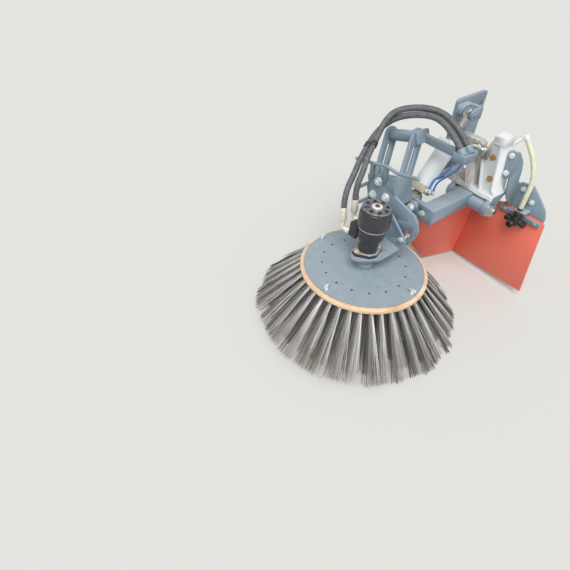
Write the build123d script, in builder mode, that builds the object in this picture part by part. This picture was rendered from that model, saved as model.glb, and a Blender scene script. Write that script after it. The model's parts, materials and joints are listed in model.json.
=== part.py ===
from build123d import *
from math import atan2, cos, degrees, hypot, pi, radians, sin, tan
import os

os.makedirs("parts", exist_ok=True)

# Side broom of a street sweeper truck with its arm, in millimetres.
# +X points to the kerb, +Y along the truck from the broom to its console, +Z up.
# The origin is the middle of the bolt pattern on the back of the chassis plate.

# where the middle of the broom plate's top face lies, and how far its leading edge dips
broom_x = 100.0
broom_y = -520.0
broom_z = -300.0
broom_pitch = 4.0

# broom
plate_radius = 220.0
plate_thick = 6.0
hook_margin = 13.0
drain_margin = 66.0
ring_lip = 13.0
ring_bore = 150.0
ring_thick = 17.0
bristle_drop = 203.0
tuft_pitch = 34.0
hook_rod = 5.0

# motor, stacked up from the plate
hub_height = 50.0
hub_radius = 30.0
hub_foot = 44.0
shaft_radius = 12.5
bracket_thick = 8.0
flange_thick = 14.0
flange_turn = 77.0
body_radius = 34.0
body_height = 55.0
collar_radius = 46.0
collar_height = 43.0
drum_radius = 55.0
drum_height = 66.0
cap_height = 7.0
port_low = 100.0
port_high = 152.0

# tilt adjuster between the motor bracket and the head, in the broom's own cross plane
running_gap = 0.05
upright_back = 130.0
upright_gap = 6.0
tilt_x = -28.0
tilt_z = 136.0
clamp_x = 46.0
clamp_z = 90.0
tilt_pin_radius = 8.0
clamp_bolt_radius = 6.0

# head, rolled about an axis along the truck
head_roll = 17.5
head_x = 24.0
head_z = 62.0
quadrant_thick = 10.0
side_thick = 8.0
fork_left = -135.0
fork_right = -8.0
fork_back = 224.0
fork_low = 127.0
fork_top = 340.0
fork_top_y = 258.0
slot_width = 12.0
cross_tube_radius = 20.0

# arm
tube_size = 60.0
tube_wall = 5.0
tube_x = 141.0
tube_top = -124.0
tube_end = -90.0
end_plate_thick = 8.0
stack_gap = 8.0
end_plate_left = 18.0
hinge_y = -62.0
hinge_z = -161.0
hinge_radius = 15.0
sleeve_radius = 26.0
sleeve_left = 92.0
sleeve_right = 226.0

# lift cylinder, in a plane of its own beside the arm
cylinder_x = 52.0
lower_pin_back = 30.0
lower_pin_z = -135.0
upper_pin_y = -62.5
upper_pin_z = 130.5
barrel_radius = 34.0
cap_start = 22.0
barrel_length = 140.0
end_cap = 28.0
rod_radius = 10.0
eye_width = 22.0
pin_radius = 8.0

# console
chassis_thick = 12.0
chassis_width = 160.0
chassis_low = -150.0
chassis_high = 165.0
bolt_space_y = 120.0
bolt_space_z = 240.0
bolt_hole = 9.0
slab_low = -123.0
slab_thick = 13.0
slab_front = -70.0
slab_back = 26.0
ear_thick = 18.0
upright_front = -62.0
rim_width = 7.0
rim_height = 4.0

# deflector and spray
sheet = 6.0
deflector_low = -490.0
backing_front = 34.0
backing_thick = 8.0
strip_left = 236.0
strip_right = 404.0
strip_top = -170.0
strip_height = 18.0
sheet_top = -164.0
sheet_right = 446.0
crease_x = 119.0
crease_lean = 25.0
hose_radius = 10.5
spray_radius = 7.0
air_radius = 3.5

upward = (Align.CENTER, Align.CENTER, Align.MIN)


def facing(y):
    """Plane across the truck, seen from behind: sketch X is X and sketch Y is Z."""
    return Plane(origin=(0, y, 0), x_dir=(1, 0, 0), z_dir=(0, -1, 0))


def sideways(x):
    """Plane along the truck: sketch X is Y and sketch Y is Z."""
    return Plane(origin=(x, 0, 0), x_dir=(0, 1, 0), z_dir=(1, 0, 0))


def behind_broom(y):
    """As facing, measured from the middle of the broom plate."""
    return Plane(origin=(broom_x, broom_y + y, broom_z), x_dir=(1, 0, 0), z_dir=(0, -1, 0))


roll_cos = cos(radians(head_roll))
roll_sin = sin(radians(head_roll))


def head_face(y):
    """Cross plane of the rolled head: sketch X runs to its right, sketch Y up along it."""
    origin = (broom_x + head_x, broom_y + y, broom_z + head_z)
    return Plane(origin=origin, x_dir=(roll_cos, 0, roll_sin), z_dir=(0, -1, 0))


def head_side(across):
    """Side plane of the rolled head: sketch X is Y, sketch Y runs up along the head."""
    x = broom_x + head_x + across * roll_cos
    z = broom_z + head_z + across * roll_sin
    return Plane(origin=(x, broom_y, z), x_dir=(0, 1, 0), z_dir=(roll_cos, 0, roll_sin))


def ferrule(point, inward, length):
    """Crimped sleeve that starts at a hose's end face and runs into its fitting."""
    with BuildPart() as sleeve:
        with BuildSketch(Plane(origin=point, z_dir=inward)):
            Circle(hose_radius + 2.5)
        extrude(amount=length)
    return sleeve.part


def corner_radii(points):
    """Largest bend at each corner of a hose route that its two runs leave room for."""
    radii = []
    for before, corner, after in zip(points, points[1:], points[2:]):
        run_in = Vector(*corner) - Vector(*before)
        run_out = Vector(*after) - Vector(*corner)
        turn = radians(run_in.get_angle(run_out))
        radii.append(0.45 * min(run_in.length, run_out.length) / tan(turn / 2))
    return radii


def hose(points, radius, name):
    """Plain tube of straight runs and tangent arcs along a route."""
    bends = corner_radii(points)
    with BuildPart() as tube:
        with BuildLine() as route:
            FilletPolyline(*points, radius=bends)
        with BuildSketch(Plane(origin=route.line @ 0, z_dir=route.line % 0)):
            Circle(radius)
        sweep()
    expected = pi * radius**2 * sum(edge.length for edge in route.edges())
    print(name, "bends", [round(bend) for bend in bends], "volume", round(tube.part.volume / expected, 4))
    return tube.part


pitch_sin = sin(radians(broom_pitch))
pitch_cos = cos(radians(broom_pitch))
broom_plane = Plane(origin=(broom_x, broom_y, broom_z), x_dir=(1, 0, 0), z_dir=(0, pitch_sin, pitch_cos))

hook_circle = plate_radius - hook_margin
hook_turn = 9.0
ring_radius = plate_radius + ring_lip

# broom plate: steel disc with four hook holes and a circle of drain holes
with BuildPart() as broom_plate:
    with BuildSketch(broom_plane.offset(-plate_thick)):
        Circle(plate_radius)
        with PolarLocations(hook_circle, 4, start_angle=hook_turn):
            Circle(hook_rod + 1, mode=Mode.SUBTRACT)
        with PolarLocations(plate_radius - drain_margin, 16, start_angle=hook_turn):
            Circle(4, mode=Mode.SUBTRACT)
        Circle(shaft_radius + running_gap, mode=Mode.SUBTRACT)
    extrude(amount=plate_thick)
    chamfer(broom_plate.edges().filter_by(GeomType.CIRCLE).sort_by(SortBy.RADIUS)[-2:], length=1.2)
broom_plate.part.label = "broom_plate"
export_step(broom_plate.part, "parts/broom_plate.step")

# wooden ring that carries the tufts
with BuildPart() as broom_ring:
    with BuildSketch(broom_plane.offset(-plate_thick - ring_thick)):
        Circle(ring_radius)
        Circle(ring_bore, mode=Mode.SUBTRACT)
        with PolarLocations(hook_circle, 4, start_angle=hook_turn):
            Circle(hook_rod + 1, mode=Mode.SUBTRACT)
    extrude(amount=ring_thick)
    chamfer(broom_ring.edges().filter_by(GeomType.CIRCLE).sort_by(SortBy.RADIUS)[-2:], length=2.5)
broom_ring.part.label = "broom_ring"
export_step(broom_ring.part, "parts/broom_ring.step")

# hub with its flange under the plate and the shaft that the motor turns
with BuildPart() as broom_hub:
    with BuildSketch(Plane(origin=broom_plane.origin, x_dir=(1, 0, 0), z_dir=-broom_plane.y_dir)):
        with BuildLine():
            Polyline((0, 0), (hub_foot, 0), (hub_foot, 7), (hub_radius + 6, 11))
            Line((hub_radius + 6, 11), (hub_radius, 18))
            Polyline((hub_radius, 18), (hub_radius, hub_height - 3), (hub_radius - 2, hub_height - 1), (0, hub_height - 1), (0, 0))
        make_face()
    revolve(axis=Axis(broom_plane.origin, broom_plane.z_dir))
    with BuildSketch(broom_plane.offset(-plate_thick)):
        Circle(shaft_radius)
    extrude(amount=plate_thick + hub_height + bracket_thick + flange_thick)
    with BuildSketch(broom_plane.offset(-plate_thick)):
        Circle(60)
    extrude(amount=-8)
broom_hub.part.label = "broom_hub"
export_step(broom_hub.part, "parts/broom_hub.step")

# hook bolts that clamp the ring to the plate
with BuildPart() as hook_bolt:
    with Locations((0, 0, -plate_thick - ring_thick)):
        Cylinder(hook_rod, 45, align=upward)
    with BuildSketch(Plane.XY):
        RegularPolygon(8, 6)
    extrude(amount=8)
    with Locations((0, 0, 12)):
        Box(26, 5, 9, align=upward)
with BuildPart() as hook_bolts:
    with Locations(broom_plane):
        with PolarLocations(hook_circle, 4, start_angle=hook_turn):
            add(hook_bolt.part)
hook_bolts.part.label = "hook_bolts"
export_step(hook_bolts.part, "parts/hook_bolts.step")

# tufts of flat steel wire: (distance of the roots from the ring's edge, how far the tips spread, first angle)
tuft_rows = {
    "bristles_outer": (15, 173, 0),
    "bristles_middle": (39, 144, 5),
    "bristles_inner": (63, 118, 0),
}
root_depth = -plate_thick - ring_thick
for row_name, (inset, spread, first_angle) in tuft_rows.items():
    root_radius = ring_radius - inset
    tip_radius = root_radius + spread
    count = round(2 * pi * root_radius / tuft_pitch)
    with BuildPart() as tuft:
        with BuildSketch(Plane.XY.offset(root_depth)):
            with Locations((root_radius, 0)):
                Rectangle(9, 10)
        with BuildSketch(Plane.XY.offset(-bristle_drop)):
            with Locations((tip_radius - 9, 0)):
                Rectangle(18, 24)
        loft()
    with BuildPart() as tufts:
        with Locations(broom_plane):
            with PolarLocations(0, count, start_angle=first_angle):
                add(tuft.part)
    tufts.part.label = row_name
    export_step(tufts.part, f"parts/{row_name}.step")

# motor bracket: base under the flange, folded up into the tilting upright
bracket_low = hub_height
with BuildPart() as motor_bracket:
    with BuildSketch(broom_plane.offset(bracket_low)):
        Polygon((-46, 127), (-46, -24), (-18, -52), (18, -52), (46, -24), (46, 127), align=None)
        Circle(shaft_radius + 7.5, mode=Mode.SUBTRACT)
    extrude(amount=bracket_thick)
    with BuildSketch(behind_broom(upright_back)):
        fold_low = (bracket_low - upright_back * pitch_sin) / pitch_cos
        Polygon(
            (-46, fold_low), (46, fold_low), (clamp_x + 18, clamp_z - 24), (clamp_x + 18, clamp_z - 6),
            (clamp_x + 6, clamp_z + 12), (tilt_x + 17, tilt_z + 17), (-46, tilt_z + 17), (-52, tilt_z), align=None,
        )
        with Locations((tilt_x, tilt_z)):
            Circle(24)
            Circle(tilt_pin_radius + running_gap, mode=Mode.SUBTRACT)
        with Locations((clamp_x, clamp_z)):
            Circle(clamp_bolt_radius + 0.5, mode=Mode.SUBTRACT)
    extrude(amount=bracket_thick)
motor_bracket.part.label = "motor_bracket"
export_step(motor_bracket.part, "parts/motor_bracket.step")

# motor: diamond flange, slim gear end and wider collar, turned drum, end cap with its plug
flange_low = bracket_low + bracket_thick
body_low = flange_low + flange_thick
collar_low = body_low + body_height
drum_low = collar_low + collar_height
flange_across = broom_plane.x_dir * cos(radians(flange_turn)) + broom_plane.y_dir * sin(radians(flange_turn))
flange_plane = Plane(origin=broom_plane.origin, x_dir=flange_across, z_dir=broom_plane.z_dir)
with BuildPart() as motor_housing:
    with BuildSketch(flange_plane.offset(flange_low)):
        with BuildLine():
            Polyline((-56, -10), (-56, 10), (-14, 42), (14, 42), (56, 10), (56, -10), (14, -42), (-14, -42), close=True)
        make_face()
        Circle(shaft_radius + running_gap, mode=Mode.SUBTRACT)
    extrude(amount=flange_thick)
    with BuildSketch(Plane(origin=broom_plane.origin, x_dir=(1, 0, 0), z_dir=-broom_plane.y_dir)):
        with BuildLine():
            Polyline(
                (0, body_low), (body_radius, body_low), (body_radius + 1, collar_low - 8), (collar_radius - 1, collar_low),
                (collar_radius, collar_low + 3), (collar_radius, drum_low - 16), (drum_radius - 6, drum_low - 12),
                (drum_radius - 6, drum_low), (0, drum_low), (0, body_low),
            )
        make_face()
    revolve(axis=Axis(broom_plane.origin, broom_plane.z_dir))
motor_housing.part.label = "motor_housing"
export_step(motor_housing.part, "parts/motor_housing.step")

drum_top = drum_low + drum_height
with BuildPart() as motor_drum:
    with BuildSketch(Plane(origin=broom_plane.origin, x_dir=(1, 0, 0), z_dir=-broom_plane.y_dir)):
        with BuildLine():
            Polyline(
                (0, drum_low), (drum_radius - 4, drum_low), (drum_radius, drum_low + 5), (drum_radius, drum_top - 16),
                (drum_radius - 3, drum_top - 3), (drum_radius - 5, drum_top), (0, drum_top), (0, drum_low),
            )
        make_face()
    revolve(axis=Axis(broom_plane.origin, broom_plane.z_dir))
motor_drum.part.label = "motor_drum"
export_step(motor_drum.part, "parts/motor_drum.step")

# end cap: raised rim, sunk face with a ring of screws, and the plug in its boss
with BuildPart() as motor_cap:
    with BuildSketch(broom_plane.offset(drum_top)):
        Circle(drum_radius - 5)
    extrude(amount=cap_height)
    with BuildSketch(broom_plane.offset(drum_top + cap_height)):
        Circle(drum_radius - 10)
    extrude(amount=-3, mode=Mode.SUBTRACT)
    with BuildSketch(broom_plane.offset(drum_top + cap_height - 3)):
        Circle(25)
    extrude(amount=4)
    with BuildSketch(broom_plane.offset(drum_top + cap_height + 1)):
        Circle(21)
    extrude(amount=4)
    with BuildSketch(broom_plane.offset(drum_top + cap_height - 3)):
        with PolarLocations(35, 7):
            RegularPolygon(6, 6)
    extrude(amount=5)
motor_cap.part.label = "motor_cap"
export_step(motor_cap.part, "parts/motor_cap.step")

with BuildPart() as motor_bolts:
    for side in (-1, 1):
        with BuildSketch(flange_plane.offset(body_low)):
            with Locations((side * 45, 0)):
                RegularPolygon(8.5, 6)
        extrude(amount=9)
motor_bolts.part.label = "motor_bolts"
export_step(motor_bolts.part, "parts/motor_bolts.step")

# port block on the left of the collar
with BuildPart() as motor_ports:
    with BuildSketch(broom_plane.offset(port_low)):
        with Locations((-collar_radius - 12, 2)):
            RectangleRounded(40, 70, 8)
        Circle(collar_radius, mode=Mode.SUBTRACT)
    extrude(amount=port_high - port_low)
motor_ports.part.label = "motor_ports"
export_step(motor_ports.part, "parts/motor_ports.step")


def from_broom(x, y, z):
    return (broom_x + x, broom_y + y, broom_z + z)


# hoses: where each one leaves its ferrule, and its route over the head to the console
port_face = -collar_radius - 32
ferrule_tops = {"near": from_broom(-117, -20, 191), "far": from_broom(-109, 22, 213)}
port_points = {"near": from_broom(port_face, -20, 114), "far": from_broom(port_face, 20, 140)}
knee_steps = {"near": (-21, -13, 5), "far": (-22, -4, 8)}
first_runs = {}
with BuildPart() as hose_ends:
    for key in ("near", "far"):
        start = Vector(*port_points[key])
        end = Vector(*ferrule_tops[key])
        knee = start + Vector(*knee_steps[key])
        lift = (end - knee).normalized()
        first_runs[key] = tuple(end + lift * 50)
        base = end - lift * 46
        with BuildLine() as elbow:
            FilletPolyline(start, knee, base, radius=13)
        with BuildSketch(Plane(origin=elbow.line @ 0, z_dir=elbow.line % 0)):
            Circle(9)
        sweep()
        with BuildSketch(Plane(origin=base, z_dir=lift)):
            Circle(13)
        extrude(amount=46)
        with BuildSketch(Plane(origin=start, z_dir=(knee - start).normalized())):
            RegularPolygon(14, 6)
        extrude(amount=12)
hose_ends.part.label = "hose_ends"
export_step(hose_ends.part, "parts/hose_ends.step")

# tilt pin on the quadrant and the clamp bolt that slides in its slot
quadrant_front = upright_back + upright_gap
quadrant_back = quadrant_front + quadrant_thick
with BuildPart() as tilt_pin:
    with BuildSketch(behind_broom(quadrant_front)):
        with Locations((tilt_x, tilt_z)):
            Circle(16)
    extrude(amount=upright_gap - 0.5)
    with BuildSketch(behind_broom(quadrant_back)):
        with Locations((tilt_x, tilt_z)):
            Circle(tilt_pin_radius)
    extrude(amount=quadrant_thick + upright_gap + bracket_thick + 0.5)
    with BuildSketch(behind_broom(upright_back - bracket_thick - 0.5)):
        with Locations((tilt_x, tilt_z)):
            RegularPolygon(15, 6)
    extrude(amount=10)
tilt_pin.part.label = "tilt_pin"
export_step(tilt_pin.part, "parts/tilt_pin.step")

with BuildPart() as tilt_clamp:
    with BuildSketch(behind_broom(upright_back - bracket_thick)):
        with Locations((clamp_x, clamp_z)):
            RegularPolygon(11, 6)
    extrude(amount=8)
    with BuildSketch(behind_broom(quadrant_back + 14)):
        with Locations((clamp_x, clamp_z)):
            Circle(clamp_bolt_radius)
    extrude(amount=14 + quadrant_thick + upright_gap + bracket_thick)
    with BuildSketch(behind_broom(quadrant_back + 11)):
        with Locations((clamp_x, clamp_z)):
            RegularPolygon(11, 6)
    extrude(amount=10)
tilt_clamp.part.label = "tilt_clamp"
export_step(tilt_clamp.part, "parts/tilt_clamp.step")

# quadrant plate of the head, with the clamp's arc slot struck from the tilt pin
slot_radius = hypot(clamp_x - tilt_x, clamp_z - tilt_z)
slot_angle = degrees(atan2(clamp_z - tilt_z, clamp_x - tilt_x))
slot_line = CenterArc((tilt_x, tilt_z), slot_radius, slot_angle - 10, 30)
with BuildPart() as quadrant_plate:
    with BuildSketch(head_face(quadrant_back)) as quadrant_outline:
        Polygon(
            (fork_left, 234), (fork_right, 234), (fork_right, 166), (80, 112), (90, 90), (90, 54), (68, 20), (38, -8),
            (2, -16), (-42, 24), (fork_left, 130), align=None,
        )
        fillet(quadrant_outline.vertices(), radius=9)
    extrude(amount=quadrant_thick)
    with BuildSketch(behind_broom(quadrant_back)):
        with Locations((tilt_x, tilt_z)):
            Circle(tilt_pin_radius)
        SlotArc(slot_line, 2 * clamp_bolt_radius + 9)
    extrude(amount=quadrant_thick, mode=Mode.SUBTRACT)
quadrant_plate.part.label = "quadrant_plate"
export_step(quadrant_plate.part, "parts/quadrant_plate.step")

# three bolts that hold the quadrant to the fork: head coordinates of each
quadrant_bolt_places = [(-79, 212), (-114, 158), (-49, 158)]
with BuildPart() as quadrant_bolts:
    with BuildSketch(head_face(quadrant_front)):
        with Locations(*quadrant_bolt_places):
            RegularPolygon(15, 6)
    extrude(amount=10)
quadrant_bolts.part.label = "quadrant_bolts"
export_step(quadrant_bolts.part, "parts/quadrant_bolts.step")

# slotted fork plates: lower block behind the quadrant, arm leaning back to the cross tube
for side_name, across in {"fork_left": fork_left, "fork_right": fork_right - side_thick}.items():
    with BuildPart() as fork_plate:
        with BuildSketch(head_side(across)):
            with BuildLine():
                Polyline(
                    (quadrant_back, 234),
                    (quadrant_back, fork_low),
                    (fork_back, fork_low),
                    (fork_back, 212),
                    (284.5, 326),
                )
                Line((231.5, 354), (167, 234))
                Line((167, 234), (quadrant_back, 234))
                ThreePointArc((284.5, 326), (272, 366), (231.5, 354))
            make_face()
            with Locations(Location((221.5, 272), 61.9)):
                SlotCenterToCenter(80, slot_width, mode=Mode.SUBTRACT)
        extrude(amount=side_thick)
    fork_plate.part.label = side_name
    export_step(fork_plate.part, f"parts/{side_name}.step")

tube_span = fork_right - fork_left - 2 * side_thick
with BuildPart() as cross_tube:
    with BuildSketch(head_side(fork_left + side_thick)):
        with Locations((fork_top_y, fork_top)):
            Circle(cross_tube_radius)
            Circle(cross_tube_radius - 4, mode=Mode.SUBTRACT)
    extrude(amount=tube_span)
cross_tube.part.label = "cross_tube"
export_step(cross_tube.part, "parts/cross_tube.step")

# back plate that closes the fork, with the ear that is bolted to the arm's end plate
ear_across = -6.0
ear_up = 104.0
fork_back_thick = 10.0
inner_left = fork_left + side_thick
inner_right = fork_right - side_thick
with BuildPart() as fork_back_plate:
    with BuildSketch(head_face(fork_back)):
        Polygon((inner_left, 205), (inner_right, 205), (inner_right, fork_low), (inner_left, fork_low), align=None)
        Polygon((-85, fork_low), (inner_right, fork_low), (12, 92), (-10, 82), (-60, 90), align=None)
        with Locations((ear_across, ear_up)):
            Circle(22)
            Circle(8, mode=Mode.SUBTRACT)
    extrude(amount=fork_back_thick)
fork_back_plate.part.label = "fork_back_plate"
export_step(fork_back_plate.part, "parts/fork_back_plate.step")

# hose routes from the ferrules over the head to the union, and from there to the console
motor_routes = {
    "near": [
        ferrule_tops["near"], first_runs["near"], from_broom(-146, 40, 290), from_broom(-170, 84, 322),
        from_broom(-188, 130, 348),
    ],
    "far": [
        ferrule_tops["far"], first_runs["far"], from_broom(-119, 52, 304), from_broom(-145, 90, 336),
        from_broom(-166, 134, 360),
    ],
}
clip_points = {key: Vector(*route[-1]) for key, route in motor_routes.items()}
clip_runs = {key: (clip_points[key] - Vector(*route[-2])).normalized() for key, route in motor_routes.items()}
past_clip = {key: tuple(clip_points[key] + clip_runs[key] * 40) for key in clip_points}
carrier_right = 150.0
carrier_z = broom_z + head_z + fork_right * roll_sin + fork_top * roll_cos - 8
carrier_y = broom_y + fork_top_y + 30


def from_carrier(x, y, z):
    return (carrier_right + x, carrier_y + y, carrier_z + z)


arm_routes = {
    "near": [
        motor_routes["near"][-1], past_clip["near"], from_broom(-198, 205, 399), from_broom(-167, 240, 431),
        from_broom(-100, 268, 455), from_broom(-38, 286, 459), from_carrier(-19, 0, 49), from_carrier(15, 0, 19),
    ],
    "far": [
        motor_routes["far"][-1], past_clip["far"], from_broom(-186, 191, 417), from_broom(-177, 230, 453),
        from_broom(-108, 282, 473), from_broom(-38, 310, 468), from_carrier(-15, 25, 55), from_carrier(19, 26, 24),
    ],
}
console_routes = {
    "near": [from_carrier(8, 54, -4), (151, -150, 65), (139, -122, 52), (129, -95, 40)],
    "far": [from_carrier(34, 54, -4), (178, -150, 65), (166, -122, 52), (156, -95, 40)],
}

# guard rod in front of the fork's top, on two short legs, with its hooked tip
guard_rod = 6.0
guard_y = broom_y + quadrant_front - guard_rod - 4
guard_reach = guard_y - broom_y
guard_points = [
    from_broom(-231, guard_reach, 282), from_broom(-152, guard_reach, 299), from_broom(-80, guard_reach, 317),
    from_broom(-34, guard_reach, 314), from_broom(50, guard_reach, 334),
]
with BuildPart() as hose_guard:
    with BuildLine() as guard_line:
        FilletPolyline(*guard_points, radius=[40, 40, 40])
    with BuildSketch(Plane(origin=guard_line.line @ 0, z_dir=guard_line.line % 0)):
        Circle(guard_rod)
    sweep()
    with Locations(guard_points[-1]):
        Sphere(guard_rod + 1)
    for leg_x, leg_top in ((-148, 298), (-86, 315)):
        with BuildSketch(Plane.XY.offset(broom_z + leg_top)):
            with Locations((broom_x + leg_x, guard_y)):
                Rectangle(14, 8)
            with Locations((broom_x + leg_x, guard_y + 5)):
                Rectangle(14, 10)
        extrude(amount=-58)
    for key in ("near", "far"):
        with BuildSketch(Plane(origin=clip_points[key] - clip_runs[key] * 9, z_dir=clip_runs[key])):
            Circle(hose_radius + 2.5)
            Circle(hose_radius + 0.3, mode=Mode.SUBTRACT)
        extrude(amount=18)
    with BuildSketch(Plane.XY.offset(broom_z + 292)):
        with Locations((broom_x - 184, guard_y)):
            Rectangle(18, 5)
    extrude(amount=38.5)
hose_guard.part.label = "hose_guard"
export_step(hose_guard.part, "parts/hose_guard.step")

# square loop of flat bar on the quadrant's left edge that keeps the hoses off the fork
keeper_reach = 62.0
with BuildPart() as hose_keeper:
    with BuildSketch(head_side(fork_left - 8)):
        with Locations((quadrant_back - keeper_reach / 2 - 5, 168)):
            RectangleRounded(keeper_reach + 10, 68, 12)
            RectangleRounded(keeper_reach - 14, 44, 5, mode=Mode.SUBTRACT)
    extrude(amount=8)
hose_keeper.part.label = "hose_keeper"
export_step(hose_keeper.part, "parts/hose_keeper.step")

# arm: square tube with its hinge sleeve, ending where the head's stack of washers begins
tube_front = broom_y + fork_back + stack_gap + end_plate_thick
with BuildPart() as arm_beam:
    with BuildSketch(Plane(origin=(tube_x, tube_front, tube_top - tube_size / 2), x_dir=(1, 0, 0), z_dir=(0, 1, 0))):
        RectangleRounded(tube_size, tube_size, 7)
        RectangleRounded(tube_size - 2 * tube_wall, tube_size - 2 * tube_wall, 3, mode=Mode.SUBTRACT)
    extrude(amount=tube_end - tube_front)
    with BuildSketch(Plane(origin=(tube_x, tube_end, tube_top - tube_size / 2), x_dir=(1, 0, 0), z_dir=(0, 1, 0))):
        with Locations((0, hinge_z - tube_top + tube_size / 2)):
            Rectangle(tube_size, 40)
    extrude(amount=hinge_y - tube_end)
    with BuildSketch(sideways(sleeve_left)):
        with Locations((hinge_y, hinge_z)):
            Circle(sleeve_radius)
    extrude(amount=sleeve_right - sleeve_left)
    with BuildSketch(sideways(sleeve_left)):
        with Locations((hinge_y, hinge_z)):
            Circle(hinge_radius + running_gap)
    extrude(amount=sleeve_right - sleeve_left, mode=Mode.SUBTRACT)
arm_beam.part.label = "arm_beam"
export_step(arm_beam.part, "parts/arm_beam.step")

# end plate across the tube, with the holes of the head's two bolts
ear_x = broom_x + head_x + ear_across * roll_cos - ear_up * roll_sin
ear_z = broom_z + head_z + ear_across * roll_sin + ear_up * roll_cos
lock_x = 129.0
lock_z = -152.0
with BuildPart() as arm_end_plate:
    with BuildSketch(facing(tube_front)) as end_outline:
        Polygon(
            (end_plate_left, tube_top + 7), (ear_x, tube_top + 9), (tube_x + tube_size / 2, tube_top),
            (tube_x + tube_size / 2, tube_top - tube_size), (end_plate_left + 30, tube_top - tube_size),
            (end_plate_left, tube_top - tube_size + 24), align=None,
        )
        fillet(end_outline.vertices(), radius=5)
        with Locations((ear_x, ear_z), (lock_x, lock_z)):
            Circle(8, mode=Mode.SUBTRACT)
    extrude(amount=end_plate_thick)
arm_end_plate.part.label = "arm_end_plate"
export_step(arm_end_plate.part, "parts/arm_end_plate.step")

# pivot bolt with its stack of washers, and the lock bolt beside it
head_front = broom_y + fork_back - fork_back_thick
plate_front = tube_front - end_plate_thick
with BuildPart() as head_bolts:
    with BuildSketch(facing(tube_front + 15)):
        with Locations((ear_x, ear_z)):
            Circle(8)
    extrude(amount=tube_front + 15 - head_front)
    with BuildSketch(facing(plate_front)):
        with Locations((ear_x, ear_z)):
            Circle(17)
    extrude(amount=stack_gap)
    with BuildSketch(facing(head_front)):
        with Locations((ear_x, ear_z)):
            Circle(16)
    extrude(amount=4)
    with BuildSketch(facing(head_front - 4)):
        with Locations((ear_x, ear_z)):
            RegularPolygon(13, 6)
    extrude(amount=11)
    with BuildSketch(facing(tube_front + 13)):
        with Locations((ear_x, ear_z)):
            RegularPolygon(13, 6)
    extrude(amount=13)
    with BuildSketch(facing(tube_front + 12)):
        with Locations((lock_x, lock_z)):
            Circle(8)
    extrude(amount=12 + end_plate_thick)
    with BuildSketch(facing(plate_front)):
        with Locations((lock_x, lock_z)):
            RegularPolygon(12, 6)
    extrude(amount=9)
head_bolts.part.label = "head_bolts"
export_step(head_bolts.part, "parts/head_bolts.step")

# carrier bar from the fork's top out to the hose clamp
carrier_step = 6.3
carrier_left = broom_x + head_x + fork_right * roll_cos - fork_top * roll_sin + carrier_step
with BuildPart() as hose_carrier:
    with BuildSketch(Plane(origin=(carrier_left, carrier_y, carrier_z), x_dir=(0, 1, 0), z_dir=(1, 0, 0))):
        RectangleRounded(12, 30, 3)
    extrude(amount=carrier_right - carrier_left)
    with BuildSketch(head_side(fork_right)):
        with Locations((fork_top_y + 14, fork_top - 2)):
            RectangleRounded(60, 44, 8)
    extrude(amount=10)
hose_carrier.part.label = "hose_carrier"
export_step(hose_carrier.part, "parts/hose_carrier.step")

# lower clevis of the lift cylinder, welded to the tube's side
lower_pin_y = tube_front + lower_pin_back
ear_gap = 0.5
clevis_ear = 10.0
half_eye = eye_width / 2 + ear_gap
with BuildPart() as cylinder_bracket:
    with BuildSketch(Plane.XY.offset(lower_pin_z - 30)):
        with Locations(((cylinder_x - half_eye - clevis_ear + tube_x - tube_size / 2) / 2, lower_pin_y + 5)):
            Rectangle(tube_x - tube_size / 2 - cylinder_x + half_eye + clevis_ear, 34)
    extrude(amount=12)
    for ear_start in (cylinder_x - half_eye - clevis_ear, cylinder_x + half_eye):
        with BuildSketch(sideways(ear_start)):
            with Locations((lower_pin_y, lower_pin_z)):
                Circle(16)
                Rectangle(32, 30, align=(Align.CENTER, Align.MAX))
        extrude(amount=clevis_ear)
    with BuildSketch(sideways(cylinder_x - half_eye - clevis_ear - 3)):
        with Locations((lower_pin_y, lower_pin_z)):
            Circle(pin_radius)
    extrude(amount=2 * (half_eye + clevis_ear + 3))
cylinder_bracket.part.label = "cylinder_bracket"
export_step(cylinder_bracket.part, "parts/cylinder_bracket.step")

# lift cylinder: barrel between two square caps, and its rod
reach_y = upper_pin_y - lower_pin_y
reach_z = upper_pin_z - lower_pin_z
reach = hypot(reach_y, reach_z)
cylinder_plane = Plane(
    origin=(cylinder_x, lower_pin_y, lower_pin_z), x_dir=(1, 0, 0), z_dir=(0, reach_y, reach_z)
)
barrel_start = cap_start + end_cap
barrel_end = barrel_start + barrel_length
cap_size = 2 * barrel_radius
with BuildPart() as cylinder_barrel:
    with BuildSketch(cylinder_plane.offset(barrel_start)):
        Circle(barrel_radius - 1)
        Circle(barrel_radius - 8, mode=Mode.SUBTRACT)
    extrude(amount=barrel_length)
cylinder_barrel.part.label = "cylinder_barrel"
export_step(cylinder_barrel.part, "parts/cylinder_barrel.step")

with BuildPart() as cylinder_caps:
    with BuildSketch(cylinder_plane.offset(cap_start)):
        RectangleRounded(cap_size, cap_size, 14)
    extrude(amount=end_cap)
    with BuildSketch(sideways(cylinder_x - eye_width / 2)):
        with Locations((lower_pin_y, lower_pin_z)):
            Circle(15)
            with Locations(Location((0, 0), degrees(atan2(reach_z, reach_y)))):
                Rectangle(cap_start + 1, 30, align=(Align.MIN, Align.CENTER))
    extrude(amount=eye_width)
    with BuildSketch(sideways(cylinder_x - eye_width / 2)):
        with Locations((lower_pin_y, lower_pin_z)):
            Circle(pin_radius + running_gap)
    extrude(amount=eye_width, mode=Mode.SUBTRACT)
    with BuildSketch(cylinder_plane.offset(barrel_end)):
        RectangleRounded(cap_size, cap_size, 14)
        Circle(rod_radius + running_gap, mode=Mode.SUBTRACT)
    extrude(amount=end_cap)
cylinder_caps.part.label = "cylinder_caps"
export_step(cylinder_caps.part, "parts/cylinder_caps.step")

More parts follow.
